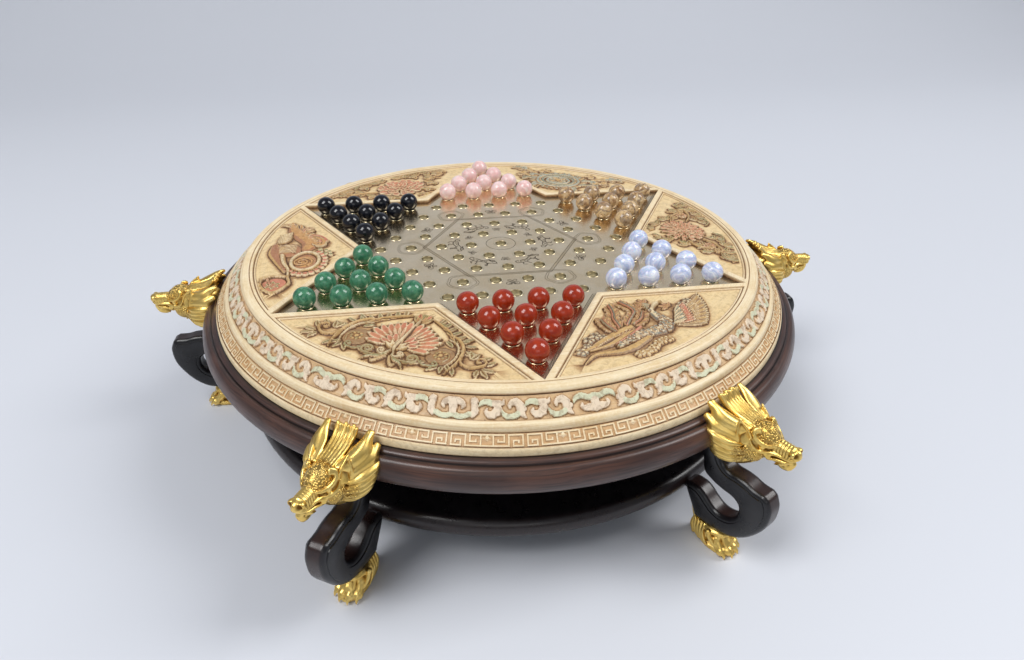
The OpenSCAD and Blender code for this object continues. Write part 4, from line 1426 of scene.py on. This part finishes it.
def carved_top():
    """The cast top: panels, star opening, ring moulding, cloud band, torus, key band and foot."""
    form = Form()
    carved_panels(form)
    clouds = scroll_band(form)
    keys = fret_band(form)
    # The flat web of dividers, with the star and the six panels open in it
    web_r = TIP_R + 1.1
    inset = DIVIDER[-1][0]
    panel = panel_loop(inset, FIELD_R + DIVIDER_W - inset, DIVIDER_Z)
    loops = [[polar(web_r, 360 / ROUND * i) for i in range(ROUND)], star_outline(0.3)]
    for k in range(SIDES):
        loops.append([tuple(p[:2]) for p in panel @ side_turn(k).T])
    web, tris = fill(loops, DIVIDER_Z)
    form.add(web, [tris])
    # The star's wall: how far it stands back, height, shade
    wall = [(0.0, POCKET_Z, 0.9), (0.0, PLATE_Z, 0.9), (0.0, DIVIDER_Z - 0.8, 0.3),
            (0.08, DIVIDER_Z - 0.25, 0.0), (0.3, DIVIDER_Z, 0.0)]
    co = np.stack([[(x, y, z) for x, y in star_outline(grow)] for grow, z, _ in wall], 1)
    form.add(co, [grid_faces(len(co), len(wall), True)], np.tile([w[2] for w in wall], len(co)))
    pocket, tris = fill([star_outline(0)], POCKET_Z)
    form.add(pocket, [tris])
    top = DIVIDER_Z
    # Each profile point's third number is painted shade: in the grooves, where the bands meet, and under the
    # top
    ring = [(web_r, top, 0), (web_r + 0.25, top - 0.08, 0.3), (web_r + 0.45, top - 0.5, 0.65),
            (web_r + 0.8, top - 0.5, 0.65), (web_r + 1.0, top - 0.08, 0.3), (web_r + 1.3, top, 0),
            (TOP_R - 25.2, top, 0), (TOP_R - 24.1, top - 0.2, 0), (TOP_R - 23.2, top - 0.9, 0),
            (TOP_R - 22.5, top - 2.1, 0.05), (TOP_R - 22.25, top - 3.0, 0.4), (TOP_R - 22.3, top - 3.7, 1.0),
            (*(clouds[0] - (0.05, 0)), 1.0), (*clouds[0], 0.8)]
    torus_a, torus_b = clouds[-1] + (0.75, 0.35), keys[0] + (0.15, 0.75)
    torus = [(*clouds[-1], 0.8), (*(torus_a - (0.5, 0.1)), 0.7)]
    push = np.array((torus_a[1] - torus_b[1], torus_b[0] - torus_a[0]))
    push /= np.linalg.norm(push)
    for i in range(13):
        t = i / 12
        x, z = blend(torus_a, torus_b, t) + push * 1.55 * math.sin(math.pi * t)
        torus.append((x, z, 0.5 if i in (0, 12) else 0.12 if i in (1, 11) else 0.0))
    torus += [(*(keys[0] + (-0.05, 0.3)), 1.0), (*keys[0], 0.9)]
    base = RIM_TOP
    hem = [(*keys[-1], 0.9), (*(keys[-1] + (0.35, -0.1)), 0.9), (TOP_R - 1.15, base + 5.9, 0.5),
           (TOP_R - 0.75, base + 5.55, 0.1), (TOP_R - 0.3, base + 4.6, 0.0), (TOP_R - 0.05, base + 3.0, 0.0),
           (TOP_R, base + 0.9, 0.05), (TOP_R - 0.1, base + 0.25, 0.5), (TOP_R - 0.4, base, 1.0),
           (DECK_R, base, 1.0), (DECK_R, DECK_TOP, 0.6), (0.4, DECK_TOP, 0.4)]
    form.turn(ring)
    form.turn(torus)
    form.turn(hem, tint=HEM_PAINT)
    place(form.build("cast_top", RESIN, merge=0.003, sharp=55), "carved_resin", "carved_top")


# ---------------------------------------------------------------- turned wood

def wood_rim():
    """The turned rim: a round nose, a bead and a groove under the carved top, with painted shade in the
    groove and on the face under the top.
    """
    form = Form()
    nose_r = 14
    bore_r = 200
    rise = (RIM_TOP - RIM_LOW) * 0.53
    nose = []
    for i in range(25):
        a = math.radians(45 - 135 * i / 24)
        nose.append((RIM_R - nose_r + nose_r * math.cos(a), RIM_LOW + rise + rise * math.sin(a), 0.0))
    top = RIM_TOP
    bead = [(TOP_R - 6, top, 0.9), (TOP_R + 0.6, top, 0.9), (TOP_R + 1.2, top - 0.1, 0.2),
            (TOP_R + 2.6, top - 0.25, 0), (TOP_R + 3.6, top - 0.7, 0), (TOP_R + 4.2, top - 1.3, 0.1),
            (TOP_R + 4.4, top - 1.9, 0.9), (TOP_R + 4.7, top - 2.45, 1.0), (TOP_R + 5.3, top - 2.3, 0.8),
            (TOP_R + 6.2, top - 2.05, 0.1)]
    under = [(bore_r, RIM_LOW, 0), (bore_r, top, 0), (TOP_R - 6, top, 0.9)]
    form.turn(bead + nose + under)
    place(form.build("turned_rim", ROSEWOOD, merge=0.01), "rosewood", "wood_rim")


def lower_shelf():
    """The round shelf, with a rounded edge that is rubbed brown."""
    form = Form()
    half = (SHELF_TOP - SHELF_LOW) / 2
    edge_w = 6.5
    edge = []
    for i in range(17):
        a = math.radians(90 - 180 * i / 16)
        edge.append((SHELF_R - edge_w + edge_w * math.cos(a), SHELF_LOW + half + half * math.sin(a),
                     0.6 * math.sin(math.pi * i / 16)))
    top = [(r, SHELF_TOP, 0.0) for r in (0.4, 60, 130, 190)]
    under = [(150, SHELF_LOW, 0.0), (60, SHELF_LOW, 0.0), (0.4, SHELF_LOW, 0.0), (0.4, SHELF_TOP, 0.0)]
    form.turn(top + edge + under, 360)
    place(form.build("lacquered_shelf", LACQUER, merge=0.01), "black_lacquer", "lower_shelf")


# ---------------------------------------------------------------- legs

def side_outline(node):
    """The leg's outline in the plane of its flat side, read from the CAD leg at azimuth 0."""
    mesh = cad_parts[node].data
    face_y = LEG_HALF * MM
    ends = {}
    for polygon in mesh.polygons:
        if polygon.normal.y < 0.99 or abs(polygon.center.y - face_y) > 1e-5:
            continue
        keys = list(polygon.vertices)
        for a, b in zip(keys, keys[1:] + keys[:1]):
            pa, pb = (tuple(round(c / MM, 3) for c in mesh.vertices[v].co.xz) for v in (a, b))
            if ends.get(pb, {}).get(pa):
                del ends[pb][pa]
            else:
                ends.setdefault(pa, {})[pb] = True
    start = next(k for k, v in ends.items() if v)
    loop, here = [start], next(iter(ends[start]))
    while here != start:
        loop.append(here)
        here = next(iter(ends[here]))
    return np.array(loop)


def even_loop(loop, step):
    """The closed loop again with evenly spaced points."""
    closed = np.vstack([loop, loop[:1]])
    length = np.r_[0, np.cumsum(np.hypot(*np.diff(closed, axis=0).T))]
    t = np.linspace(0, length[-1], int(length[-1] / step), endpoint=False)
    return np.stack([np.interp(t, length, closed[:, k]) for k in range(2)], 1)


def loop_normals(loop):
    """Outward directions of a closed loop that runs anticlockwise."""
    along = np.roll(loop, -2, 0) - np.roll(loop, 2, 0)
    along /= np.linalg.norm(along, axis=1)[:, None]
    return np.stack([along[:, 1], -along[:, 0]], 1)


def legs():
    """Hooked legs with a thumb moulding along both edges of every side."""
    loop = side_outline("leg_1")
    area = np.sum(loop[:, 0] * np.roll(loop[:, 1], -1) - loop[:, 1] * np.roll(loop[:, 0], -1))
    if area < 0:
        loop = loop[::-1]
    loop = even_loop(loop, 1.1)
    out = loop_normals(loop)
    for _ in range(3):
        out = out + np.roll(out, 1, 0) + np.roll(out, -1, 0)
        out /= np.linalg.norm(out, axis=1)[:, None]
    half = LEG_HALF
    # Inset from the outline, place across the leg's thickness, and how brown it is
    section = [(3.6, half, 0), (3.4, half - 0.1, 0), (3.25, half - 0.8, 0), (2.7, half - 0.9, 0),
               (1.9, half - 1.15, 0), (1.1, half - 1.7, 0), (0.5, half - 2.5, 0.05), (0.12, half - 3.3, 0.2),
               (0.0, half - 4.0, 0.8), (0.0, half - 4.5, 1.0)]
    section += [(inset, -y, brown) for inset, y, brown in section[::-1]]
    rows = len(loop)
    for k in range(SIDES):
        form = Form()
        co = np.empty((rows, len(section), 3))
        for j, (inset, y, _) in enumerate(section):
            ring = loop - out * inset
            co[:, j, 0], co[:, j, 2] = ring[:, 0], ring[:, 1]
            co[:, j, 1] = y
        shade = np.tile([s[2] for s in section], rows)
        form.add(co, [grid_faces(rows, len(section), True)[:, ::-1]], shade)
        flat, tris = fill([[tuple(p) for p in loop - out * section[0][0]]], 0)
        for side in (1, -1):
            face = np.stack([flat[:, 0], np.full(len(flat), side * half), flat[:, 1]], 1)
            form.add(face, [tris[:, ::-1] if side > 0 else tris])
        form.co = [c @ side_turn(k).T for c in form.co]
        piece = form.build(f"hooked_leg_{k + 1}", LACQUER, merge=0.01, sharp=50)
        place(piece, "black_lacquer", f"leg_{k + 1}")


# ---------------------------------------------------------------- gilt castings

def tube(form, points, radii, sides=12, squash=1.0, smooth=5):
    """A closed round bar along a smooth curve, with radii spread evenly along it."""
    line = smooth_line(points, smooth) if len(points) > 2 else np.asarray(points, float)
    if len(points) == 2:
        line = np.array([blend(line[0], line[1], t) for t in np.linspace(0, 1, 5)])
    r = spread(radii, len(line))
    along = np.gradient(line, axis=0)
    along /= np.linalg.norm(along, axis=1)[:, None]
    along = np.vstack([along[:1]] * 3 + [along] + [along[-1:]] * 3)
    caps = np.radians((80, 55, 28))
    centres = [line[0] - along[0] * r[0] * math.sin(c) for c in caps]
    centres += list(line)
    centres += [line[-1] + along[-1] * r[-1] * math.sin(c) for c in caps[::-1]]
    r = np.concatenate([r[0] * np.cos(caps), r, r[-1] * np.cos(caps[::-1])])
    aside = np.cross(along, (0.13, 0.31, 0.94))
    aside /= np.linalg.norm(aside, axis=1)[:, None]
    over = np.cross(aside, along)
    a = np.arange(sides) * 2 * math.pi / sides
    co = (np.array(centres)[:, None] + (r[:, None] * np.cos(a))[..., None] * aside[:, None]
          + (r[:, None] * squash * np.sin(a))[..., None] * over[:, None])
    form.add(co, bar_faces(len(centres), sides))


def ball(form, centre, radii):
    """A closed ball or egg."""
    sides = 20
    rings = [polar(1, latitude) for latitude in np.linspace(-85, 85, 13)]
    co = turned(rings, sides).transpose(1, 0, 2) * np.broadcast_to(radii, 3) + np.asarray(centre, float)
    form.add(co, bar_faces(len(rings), sides))


def leaf(form, inner, outer, tip, base, bulge, thick):
    """A closed leaf: bars side by side between two edges that close in on a tip, bulging to one side."""
    inner, outer, tip, bulge = (np.asarray(p) for p in (inner, outer, tip, bulge))
    count = 11
    for i in range(count):
        t = i / (count - 1)
        swell = bulge * math.sin(math.pi * t)
        start = blend(inner[0], outer[0], t)
        middle = blend(inner[1], outer[1], t) + swell
        late = blend(blend(inner[1], tip, 0.6), blend(outer[1], tip, 0.6), t) + swell * 0.55
        end = tip + (outer[1] - inner[1]) * 0.2 * (t - 0.5)
        tube(form, [start + swell * 0.5, middle, late, end], [base, thick, thick, thick * 0.9], 8, smooth=4)


def one_skin(form, voxel, keep):
    """The outer skin of overlapping closed shapes: its points and triangles, of which a part is kept."""
    rough = form.build("rough", GILT)
    skin = rough.modifiers.new("skin", "REMESH")
    skin.mode = "VOXEL"
    skin.voxel_size = voxel * MM
    even = rough.modifiers.new("even", "SMOOTH")
    even.factor = 0.5
    even.iterations = 2
    thin = rough.modifiers.new("thin", "DECIMATE")
    thin.ratio = keep
    flat = rough.modifiers.new("flat", "TRIANGULATE")
    flat.min_vertices = 4
    shape = rough.evaluated_get(bpy.context.evaluated_depsgraph_get())
    mesh = bpy.data.meshes.new_from_object(shape)
    bpy.data.objects.remove(rough)
    co = np.empty(len(mesh.vertices) * 3)
    mesh.vertices.foreach_get("co", co)
    faces = np.empty(len(mesh.polygons) * 3, int)
    mesh.loops.foreach_get("vertex_index", faces)
    bpy.data.meshes.remove(mesh)
    return co.reshape(-1, 3) / MM, faces.reshape(-1, 3)


def outward(co, faces):
    """Outward directions at the points of a closed skin of triangles."""
    a, b, c = (co[faces[:, i]] for i in range(3))
    flat = np.cross(b - a, c - a)
    out = np.zeros_like(co)
    for i in range(3):
        np.add.at(out, faces[:, i], flat)
    return out / np.maximum(np.linalg.norm(out, axis=1), 1e-9)[:, None]


def neighbour_mean(values, faces):
    """For every point of a skin, the mean of its neighbours' values."""
    edges = np.vstack([faces[:, [0, 1]], faces[:, [1, 2]], faces[:, [2, 0]]])
    total = np.zeros_like(values)
    count = np.zeros(len(values))
    np.add.at(total, edges[:, 0], values[edges[:, 1]])
    np.add.at(count, edges[:, 0], 1)
    return total / np.maximum(count, 1).reshape((-1,) + (1,) * (values.ndim - 1))


def hollows(co, faces):
    """Shade from 0 on ridges to 1 in the deepest folds."""
    out = outward(co, faces)
    shade = np.zeros(len(co))
    smooth = co.copy()
    for _ in range(7):
        smooth = neighbour_mean(smooth, faces)
        shade = np.maximum(shade, np.sum((smooth - co) * out, 1) * 2.2)
    for _ in range(2):
        shade = (shade + neighbour_mean(shade, faces)) / 2
    return np.clip(shade, 0, 1)


def cast_copies(co, faces, shade, tint, name, node):
    """The same casting at every side of the board."""
    for k in range(SIDES):
        form = Form()
        form.add(co @ side_turn(k).T, [faces], shade, tint)
        place(form.build(f"{name}_{k + 1}", GILT, sharp=60), "gilt_metal", f"{node}_{k + 1}")


def dragon_heads():
    """Gilt dragon heads with a fluted mane that spreads over the board's rim."""
    form = Form()

    def z(height):
        return RIM_LOW + height

    def middle_tube(points, radii):
        tube(form, [(x, 0, z(h)) for x, h in points], radii)

    # Throat, skull and the core that the mane lies on
    ball(form, (249, 0, z(10.0)), (14.0, 10.8, 12.4))
    ball(form, (243, 0, z(13.0)), (10.5, 12.0, 14.0))
    ball(form, (257, 0, z(17.5)), (13, 10.6, 11))
    ball(form, (244, 0, z(22.0)), (12, 9.5, 6.0))
    middle_tube([(265, 11.5), (257, 4.5), (248, -1.5), (239, -3)], [4.0, 6.5, 7.8, 7.2])
    # Forehead, snout with rings, jaw and the hooked chin
    ball(form, (262.5, 0, z(22.6)), (9.2, 8.4, 8.7))
    ball(form, (267.0, 0, z(22.0)), (6.2, 6.4, 6.8))
    middle_tube([(267, 20.5), (273, 20.1), (279, 20.3), (283.5, 20.9)], [6.0, 4.7, 4.2, 3.9])
    for i in range(6):
        x = 272.2 + 1.9 * i
        arch = [(x + 0.5, -4.5, z(19.2)), (x, -3.5, z(22.9)), (x - 0.2, 0, z(24.8 - 0.07 * i)),
                (x, 3.5, z(22.9)), (x + 0.5, 4.5, z(19.2))]
        tube(form, arch, [0.7, 0.85, 0.95, 0.85, 0.7], 8)
    middle_tube([(265, 13.0), (274, 12.6), (282, 14.4)], [5.0, 3.6, 2.3])
    middle_tube([(283.4, 13.6), (281.4, 10.0), (277.4, 8.6), (273.6, 10.4)], [2.2, 2.6, 2.1, 1.2])
    for side in (1, -1):
        def at(x, y, h):
            return (x, side * y, z(h))

        def bar(points, radii, sides=10):
            tube(form, [at(*p) for p in points], radii, sides)

        # Brow that curls up into a knob, a fold under the eye, the eye and the cheek
        bar([(274, 2.8, 22.4), (270.5, 6.2, 21.4), (266.3, 9.0, 22.2), (262.4, 10.3, 24.8),
             (260.0, 9.4, 28.4), (261.4, 7.2, 30.0), (263.2, 7.6, 28.6)],
            [0.6, 1.2, 1.5, 1.4, 1.4, 1.4, 1.1])
        ball(form, at(261.4, 8.2, 28.4), 1.7)
        bar([(272, 5.6, 18.2), (267.5, 9.2, 16.8), (262.6, 10.9, 18.2), (259.2, 11.0, 22.0)],
            [0.6, 1.1, 1.1, 0.5])
        ball(form, at(266.5, 7.6, 19.9), 2.2)
        ball(form, at(260, 8.0, 12.5), (8.0, 4.4, 7.0))
        # Flared nostril over a curled lip, lower lip and beard
        ball(form, at(283.4, 3.0, 22.2), (2.7, 2.4, 2.3))
        bar([(285.6, 0.9, 19.0), (283.2, 3.9, 18.2), (278.2, 4.6, 17.6), (273.2, 5.4, 17.5),
             (269.6, 7.1, 15.6)], [1.0, 1.15, 1.05, 1.2, 1.8])
        ball(form, at(270.6, 6.7, 14.6), 1.9)
        bar([(283.6, 0.8, 15.4), (280.8, 3.2, 14.5), (275.6, 4.4, 13.8), (270.4, 5.7, 12.0)],
            [0.9, 1.0, 1.1, 0.9])
        bar([(280.5, 1.4, 12.4), (277.5, 3.0, 11.0), (274.2, 2.8, 8.6)], [1.2, 1.1, 0.5])
        # Granular cheek
        for n in range(34):
            across, along = (n * 0.618) % 1, n / 34
            ball(form, at(265.0 - 10.5 * across - 7.0 * max(0.0, 0.5 - along),
                          9.3 + 2.8 * across - 5.5 * abs(along - 0.65), 3.5 + 12.0 * along), 0.95)
        # Ear: two edges that meet in a point, hollow between
        for i in range(7):
            t = i / 6
            sink = 2.0 * math.sin(math.pi * t)
            x0, y0, h0 = blend(np.array((260.0, 9.0, 19.5)), np.array((254.0, 13.6, 15.5)), t)
            x1, y1, h1 = blend(np.array((257.4, 10.2, 26.4)), np.array((252.6, 14.2, 22.4)), t)
            thick = 1.0 if i in (0, 6) else 0.75
            bar([(x0, y0, h0), (x1 - sink, y1 - sink, h1), (250.4, 11.6, 32.4)], [thick, thick, 0.55], 8)
        # Broad lobes at the top of the mane
        leaf(form, [at(256, 7.4, 26.6), at(243.0, 9.8, 29.2)], [at(252, 12.6, 22.4), at(240.5, 18.2, 25.4)],
             at(231.0, 14.6, 34.6), 1.3, (1.4, side * 0.8, 2.4), 1.6)
        leaf(form, [at(252, 12.0, 22.5), at(242.0, 16.0, 26.0)],
             [at(253.5, 13.6, 18.0), at(239.6, 20.4, 19.6)],
             at(232.8, 19.4, 27.8), 1.3, (0.8, side * 1.6, 1.0), 1.6)
        # Strands of the mane, from the cheek back to the rim
        front = smooth_line([(254.5, 13.4, 17.5), (257.0, 12.4, 11.0), (256.5, 9.4, 4.0),
                             (253, 4.0, -2.0)], 8)
        back = smooth_line([(236.0, 20.6, 22.0), (239.5, 19.8, 14.5), (240.6, 17.4, 6.5), (239.0, 12.4, -0.5),
                            (235, 4.5, -5.4)], 8)
        for i in range(7):
            t = (i + 0.5) / 7
            a = front[int(t * (len(front) - 1))]
            b = back[int(t * (len(back) - 1))]
            swell = np.array((1.8, 2.2 * (1 - t * 0.6), -1.4 * t))
            points = [at(*a), at(*(blend(a, b, 0.42) + swell)), at(*(blend(a, b, 0.8) + swell * 0.8)), at(*b)]
            tube(form, points, np.array((2.0, 3.3, 3.7, 3.0)) * (1 - 0.25 * t), 14, 0.6 + 0.3 * t)
    # Flutes of the crest between the two lobes
    for i in range(6):
        y = (i - 2.5) * 2.3
        rise = 1.2 - 0.16 * abs(i - 2.5)
        reach = 231.8 + 1.4 * (i % 2)
        tube(form, [(258.5, y * 0.86, z(27.2)), (251, y * 0.92, z(27.9)), (243.5, y, z(28.3 + rise)),
                    (236.5, y * 1.08, z(31.0 + rise)), (reach, y * 1.16, z(35.8 + rise))],
             [0.9, 1.12, 1.24, 1.32, 1.2], 12, 1.7)
    co, faces = one_skin(form, voxel=0.4, keep=0.3)
    shade = hollows(co, faces)
    # Nostrils, pushed in and darkened with painted shade, and a granular skin over the forehead and the
    # cheeks
    for side in (1, -1):
        gap = np.linalg.norm(co - (286.0, side * 3.0, z(22.2)), axis=1)
        dent = np.clip(1.2 - gap / 2.0, 0, 1)
        co[:, 0] -= 1.9 * dent
        shade = np.maximum(shade, dent * 1.5)
    forehead = np.linalg.norm((co - (263.5, 0, z(22.6))) / (10.5, 8.8, 9.3), axis=1) < 1.04
    forehead &= (co[:, 2] > z(22.0)) & (co[:, 0] > 255)
    cheek = (co[:, 0] > 254) & (co[:, 0] < 268) & (np.abs(co[:, 1]) > 6.5)
    cheek &= (co[:, 2] > z(2)) & (co[:, 2] < z(16.5))
    rough = np.where(forehead | cheek, 1.0, 0.0)
    for _ in range(2):
        rough = (rough + neighbour_mean(rough, faces)) / 2
    tint = np.column_stack([np.zeros((len(co), 3)), rough])
    co[:, 0] = np.minimum(co[:, 0], SNOUT_REACH - 0.05)
    cast_copies(co, faces, shade, tint, "gilt_dragon_head", "dragon_head")


def claw_feet():
    """Gilt feet with four clawed toes, a claw at each side and a spur up the back of the leg."""
    form = Form()
    top = FOOT_TOP
    ball(form, (241, 0, 8.6), (11, 8.8, 9.4))
    ball(form, (232.5, 0, 6.0), (5.5, 6.2, 6.6))
    tube(form, [(238, 0, 10.0), (247, 0, 9.6), (255, 0, 6.6)], [7.5, 8.0, 5.6], 16)
    ball(form, (246, 0, top - 2.6), (11.5, 8.6, 3.6))
    # Spur up the inner edge of the leg
    tube(form, [(234, 0, 8), (229.6, 0, 14), (226.6, 0, 20), (224.6, 0, 26.0)], [3.8, 2.7, 1.9, 1.4])
    ball(form, (224.3, 0, 27.0), (1.6, 2.0, 1.7))
    for side in (1, -1):
        tube(form, [(230.5, side * 3.0, 14.5), (231.0, side * 5.2, 9), (233, side * 5.4, 2.6)],
             [1.1, 1.5, 1.4], 10)
        for i in range(4):
            x = 234.2 + 2.5 * i
            tube(form, [(x - 1.2, side * 6.0, top - 1.0), (x + 0.4, side * (8.1 + 0.3 * i), 12.0),
                        (x + 2.6, side * (8.5 + 0.35 * i), 7.2), (x + 5.5, side * (8.2 + 0.3 * i), 3.2)],
                 [0.9, 1.1, 1.1, 0.6], 10)
        # Side claw, standing proud of the leg
        ball(form, (246.5, side * 9.9, 16.0), (2.2, 2.0, 2.4))
        tube(form, [(246.5, side * 9.8, 15.5), (249.5, side * 10.0, 11.5), (253.0, side * 9.2, 7.5)],
             [1.6, 1.7, 0.9], 10)
        tube(form, [(252, side * 3.4, top - 1.2), (256.5, side * 4.6, 12.2), (258.5, side * 5.2, 9.6)],
             [1.0, 1.1, 0.5], 8)
    toes = ((-16, 15.2, 3.4), (-5.4, 17.2, 3.6), (5.4, 17.2, 3.6), (16, 15.2, 3.4))
    for angle, reach, size in toes:
        c, s = polar(1, angle)
        root = np.array((242.5, 0.17 * angle, 0))

        def on(distance, height):
            return root + (c * distance, s * distance, height)

        tube(form, [on(2, 10.5), on(9, 11.0), on(reach * 0.7, 8.8), on(reach, 4.8)],
             [size * 0.85, size * 0.9, size * 0.92, size * 0.85], 14)
        ball(form, on(reach * 0.74, 7.8), size * 1.05)
        ball(form, on(reach * 1.02, 4.4), size)
        tube(form, [on(8, 14.0), on(11, 13.4), on(reach * 0.78, 11.4)], [0.7, 1.0, 0.5], 8, smooth=4)
        tube(form, [on(reach + 1.6, 5.4), on(reach + 4.0, 3.6), on(reach + 5.0, 1.0)], [1.6, 1.2, 0.4], 10)
    ball(form, (249, 0, 2.0), (15, 9.0, 4.0))
    co, faces = one_skin(form, voxel=0.4, keep=0.26)
    shade = hollows(co, faces)
    co[:, 2] = np.maximum(co[:, 2], 0.05)
    cast_copies(co, faces, shade, (0, 0, 0, 0), "gilt_claw_foot", "claw_foot")


# ---------------------------------------------------------------- stage

# The stage, the lights and the camera are in metres
CAMERA_AT = (-0.0667, -0.5072, 0.3761)
CAMERA_RIGHT = (0.98937, -0.14523, 0.00745)
CAMERA_AHEAD = (0.1268, 0.8364, -0.5333)
LENS = 23.3                 # focal length in millimetres, on a sensor 36 wide
LIGHT_DISTANCE = 3.2


def stage():
    """Pale studio sweep, two soft boxes overhead, a weak fill in front and a camera that looks down."""
    floor_end, bend_r, wall_top = 1.2, 1.5, 5
    points = [(-4, 0), (floor_end, 0)]
    for i in range(1, 13):
        a = math.radians(90 * i / 12)
        points.append((floor_end + bend_r * math.sin(a), bend_r - bend_r * math.cos(a)))
    points.append((floor_end + bend_r, wall_top))
    verts, faces = [], []
    for y, z in points:
        verts += [(-6, y, z), (6, y, z)]
    for i in range(len(points) - 1):
        faces.append((2 * i, 2 * i + 1, 2 * i + 3, 2 * i + 2))
    mesh = bpy.data.meshes.new("sweep")
    mesh.from_pydata(verts, [], faces)
    mesh.shade_smooth()
    s = Shader("paper", Roughness=0.5)
    tone = s.noise(s.place((0.001, 0.001, 0.001)), 0.6, 2, 0.5)
    mesh.materials.append(s.finish(Base_Color=s.mix(tone, rgb(206, 209, 216), rgb(212, 215, 222))))
    sweep = bpy.data.objects.new("sweep", mesh)
    bpy.context.scene.collection.objects.link(sweep)

    def soft_box(name, towards, size, power):
        data = bpy.data.lights.new(name, "AREA")
        data.shape = "RECTANGLE"
        data.size, data.size_y = size
        data.energy = power
        light = bpy.data.objects.new(name, data)
        light.location = Vector(towards).normalized() * LIGHT_DISTANCE
        light.rotation_euler = light.location.to_track_quat("Z", "Y").to_euler()
        bpy.context.scene.collection.objects.link(light)

    soft_box("left_box", (-0.46, -0.27, 0.846), (1.2, 1.8), 62)
    soft_box("right_box", (0.654, -0.048, 0.755), (1.2, 1.8), 54)
    soft_box("front_fill", (-0.1, -0.9, 0.5), (1.8, 1.0), 6)
    world = bpy.data.worlds.new("studio")
    world.use_nodes = True
    sky = world.node_tree.nodes["Background"].inputs
    sky["Color"].default_value = (0.80, 0.84, 0.92, 1)
    sky["Strength"].default_value = 0.32
    bpy.context.scene.world = world
    bpy.context.scene.view_settings.view_transform = "Standard"

    lens = bpy.data.cameras.new("camera")
    lens.lens = LENS
    lens.sensor_width = 36
    camera = bpy.data.objects.new("camera", lens)
    right, ahead = Vector(CAMERA_RIGHT), Vector(CAMERA_AHEAD)
    turn = Matrix((right, right.cross(ahead), -ahead)).transposed()
    camera.matrix_world = Matrix.Translation(CAMERA_AT) @ turn.to_4x4()
    bpy.context.scene.collection.objects.link(camera)
    bpy.context.scene.camera = camera


def cad_finishes():
    """Materials for the CAD nodes that show as they are."""
    looks = {"deck": (DECKWOOD, "deck_board"), "leg_dowels": (DOWELWOOD, "dowel_wood"),
             "shelf_dowels": (LACQUER, "black_lacquer")}
    for name in ("deck_screws", "top_screws", "leg_screws", "head_studs", "foot_screws"):
        looks[name] = (STEEL, "steel")
    for name, (material, _) in looks.items():
        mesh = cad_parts[name].data
        mesh.materials.clear()
        mesh.materials.append(material)


stage()
cad_finishes()
marbles()
star_plate()
carved_top()
wood_rim()
lower_shelf()
legs()
dragon_heads()
claw_feet()
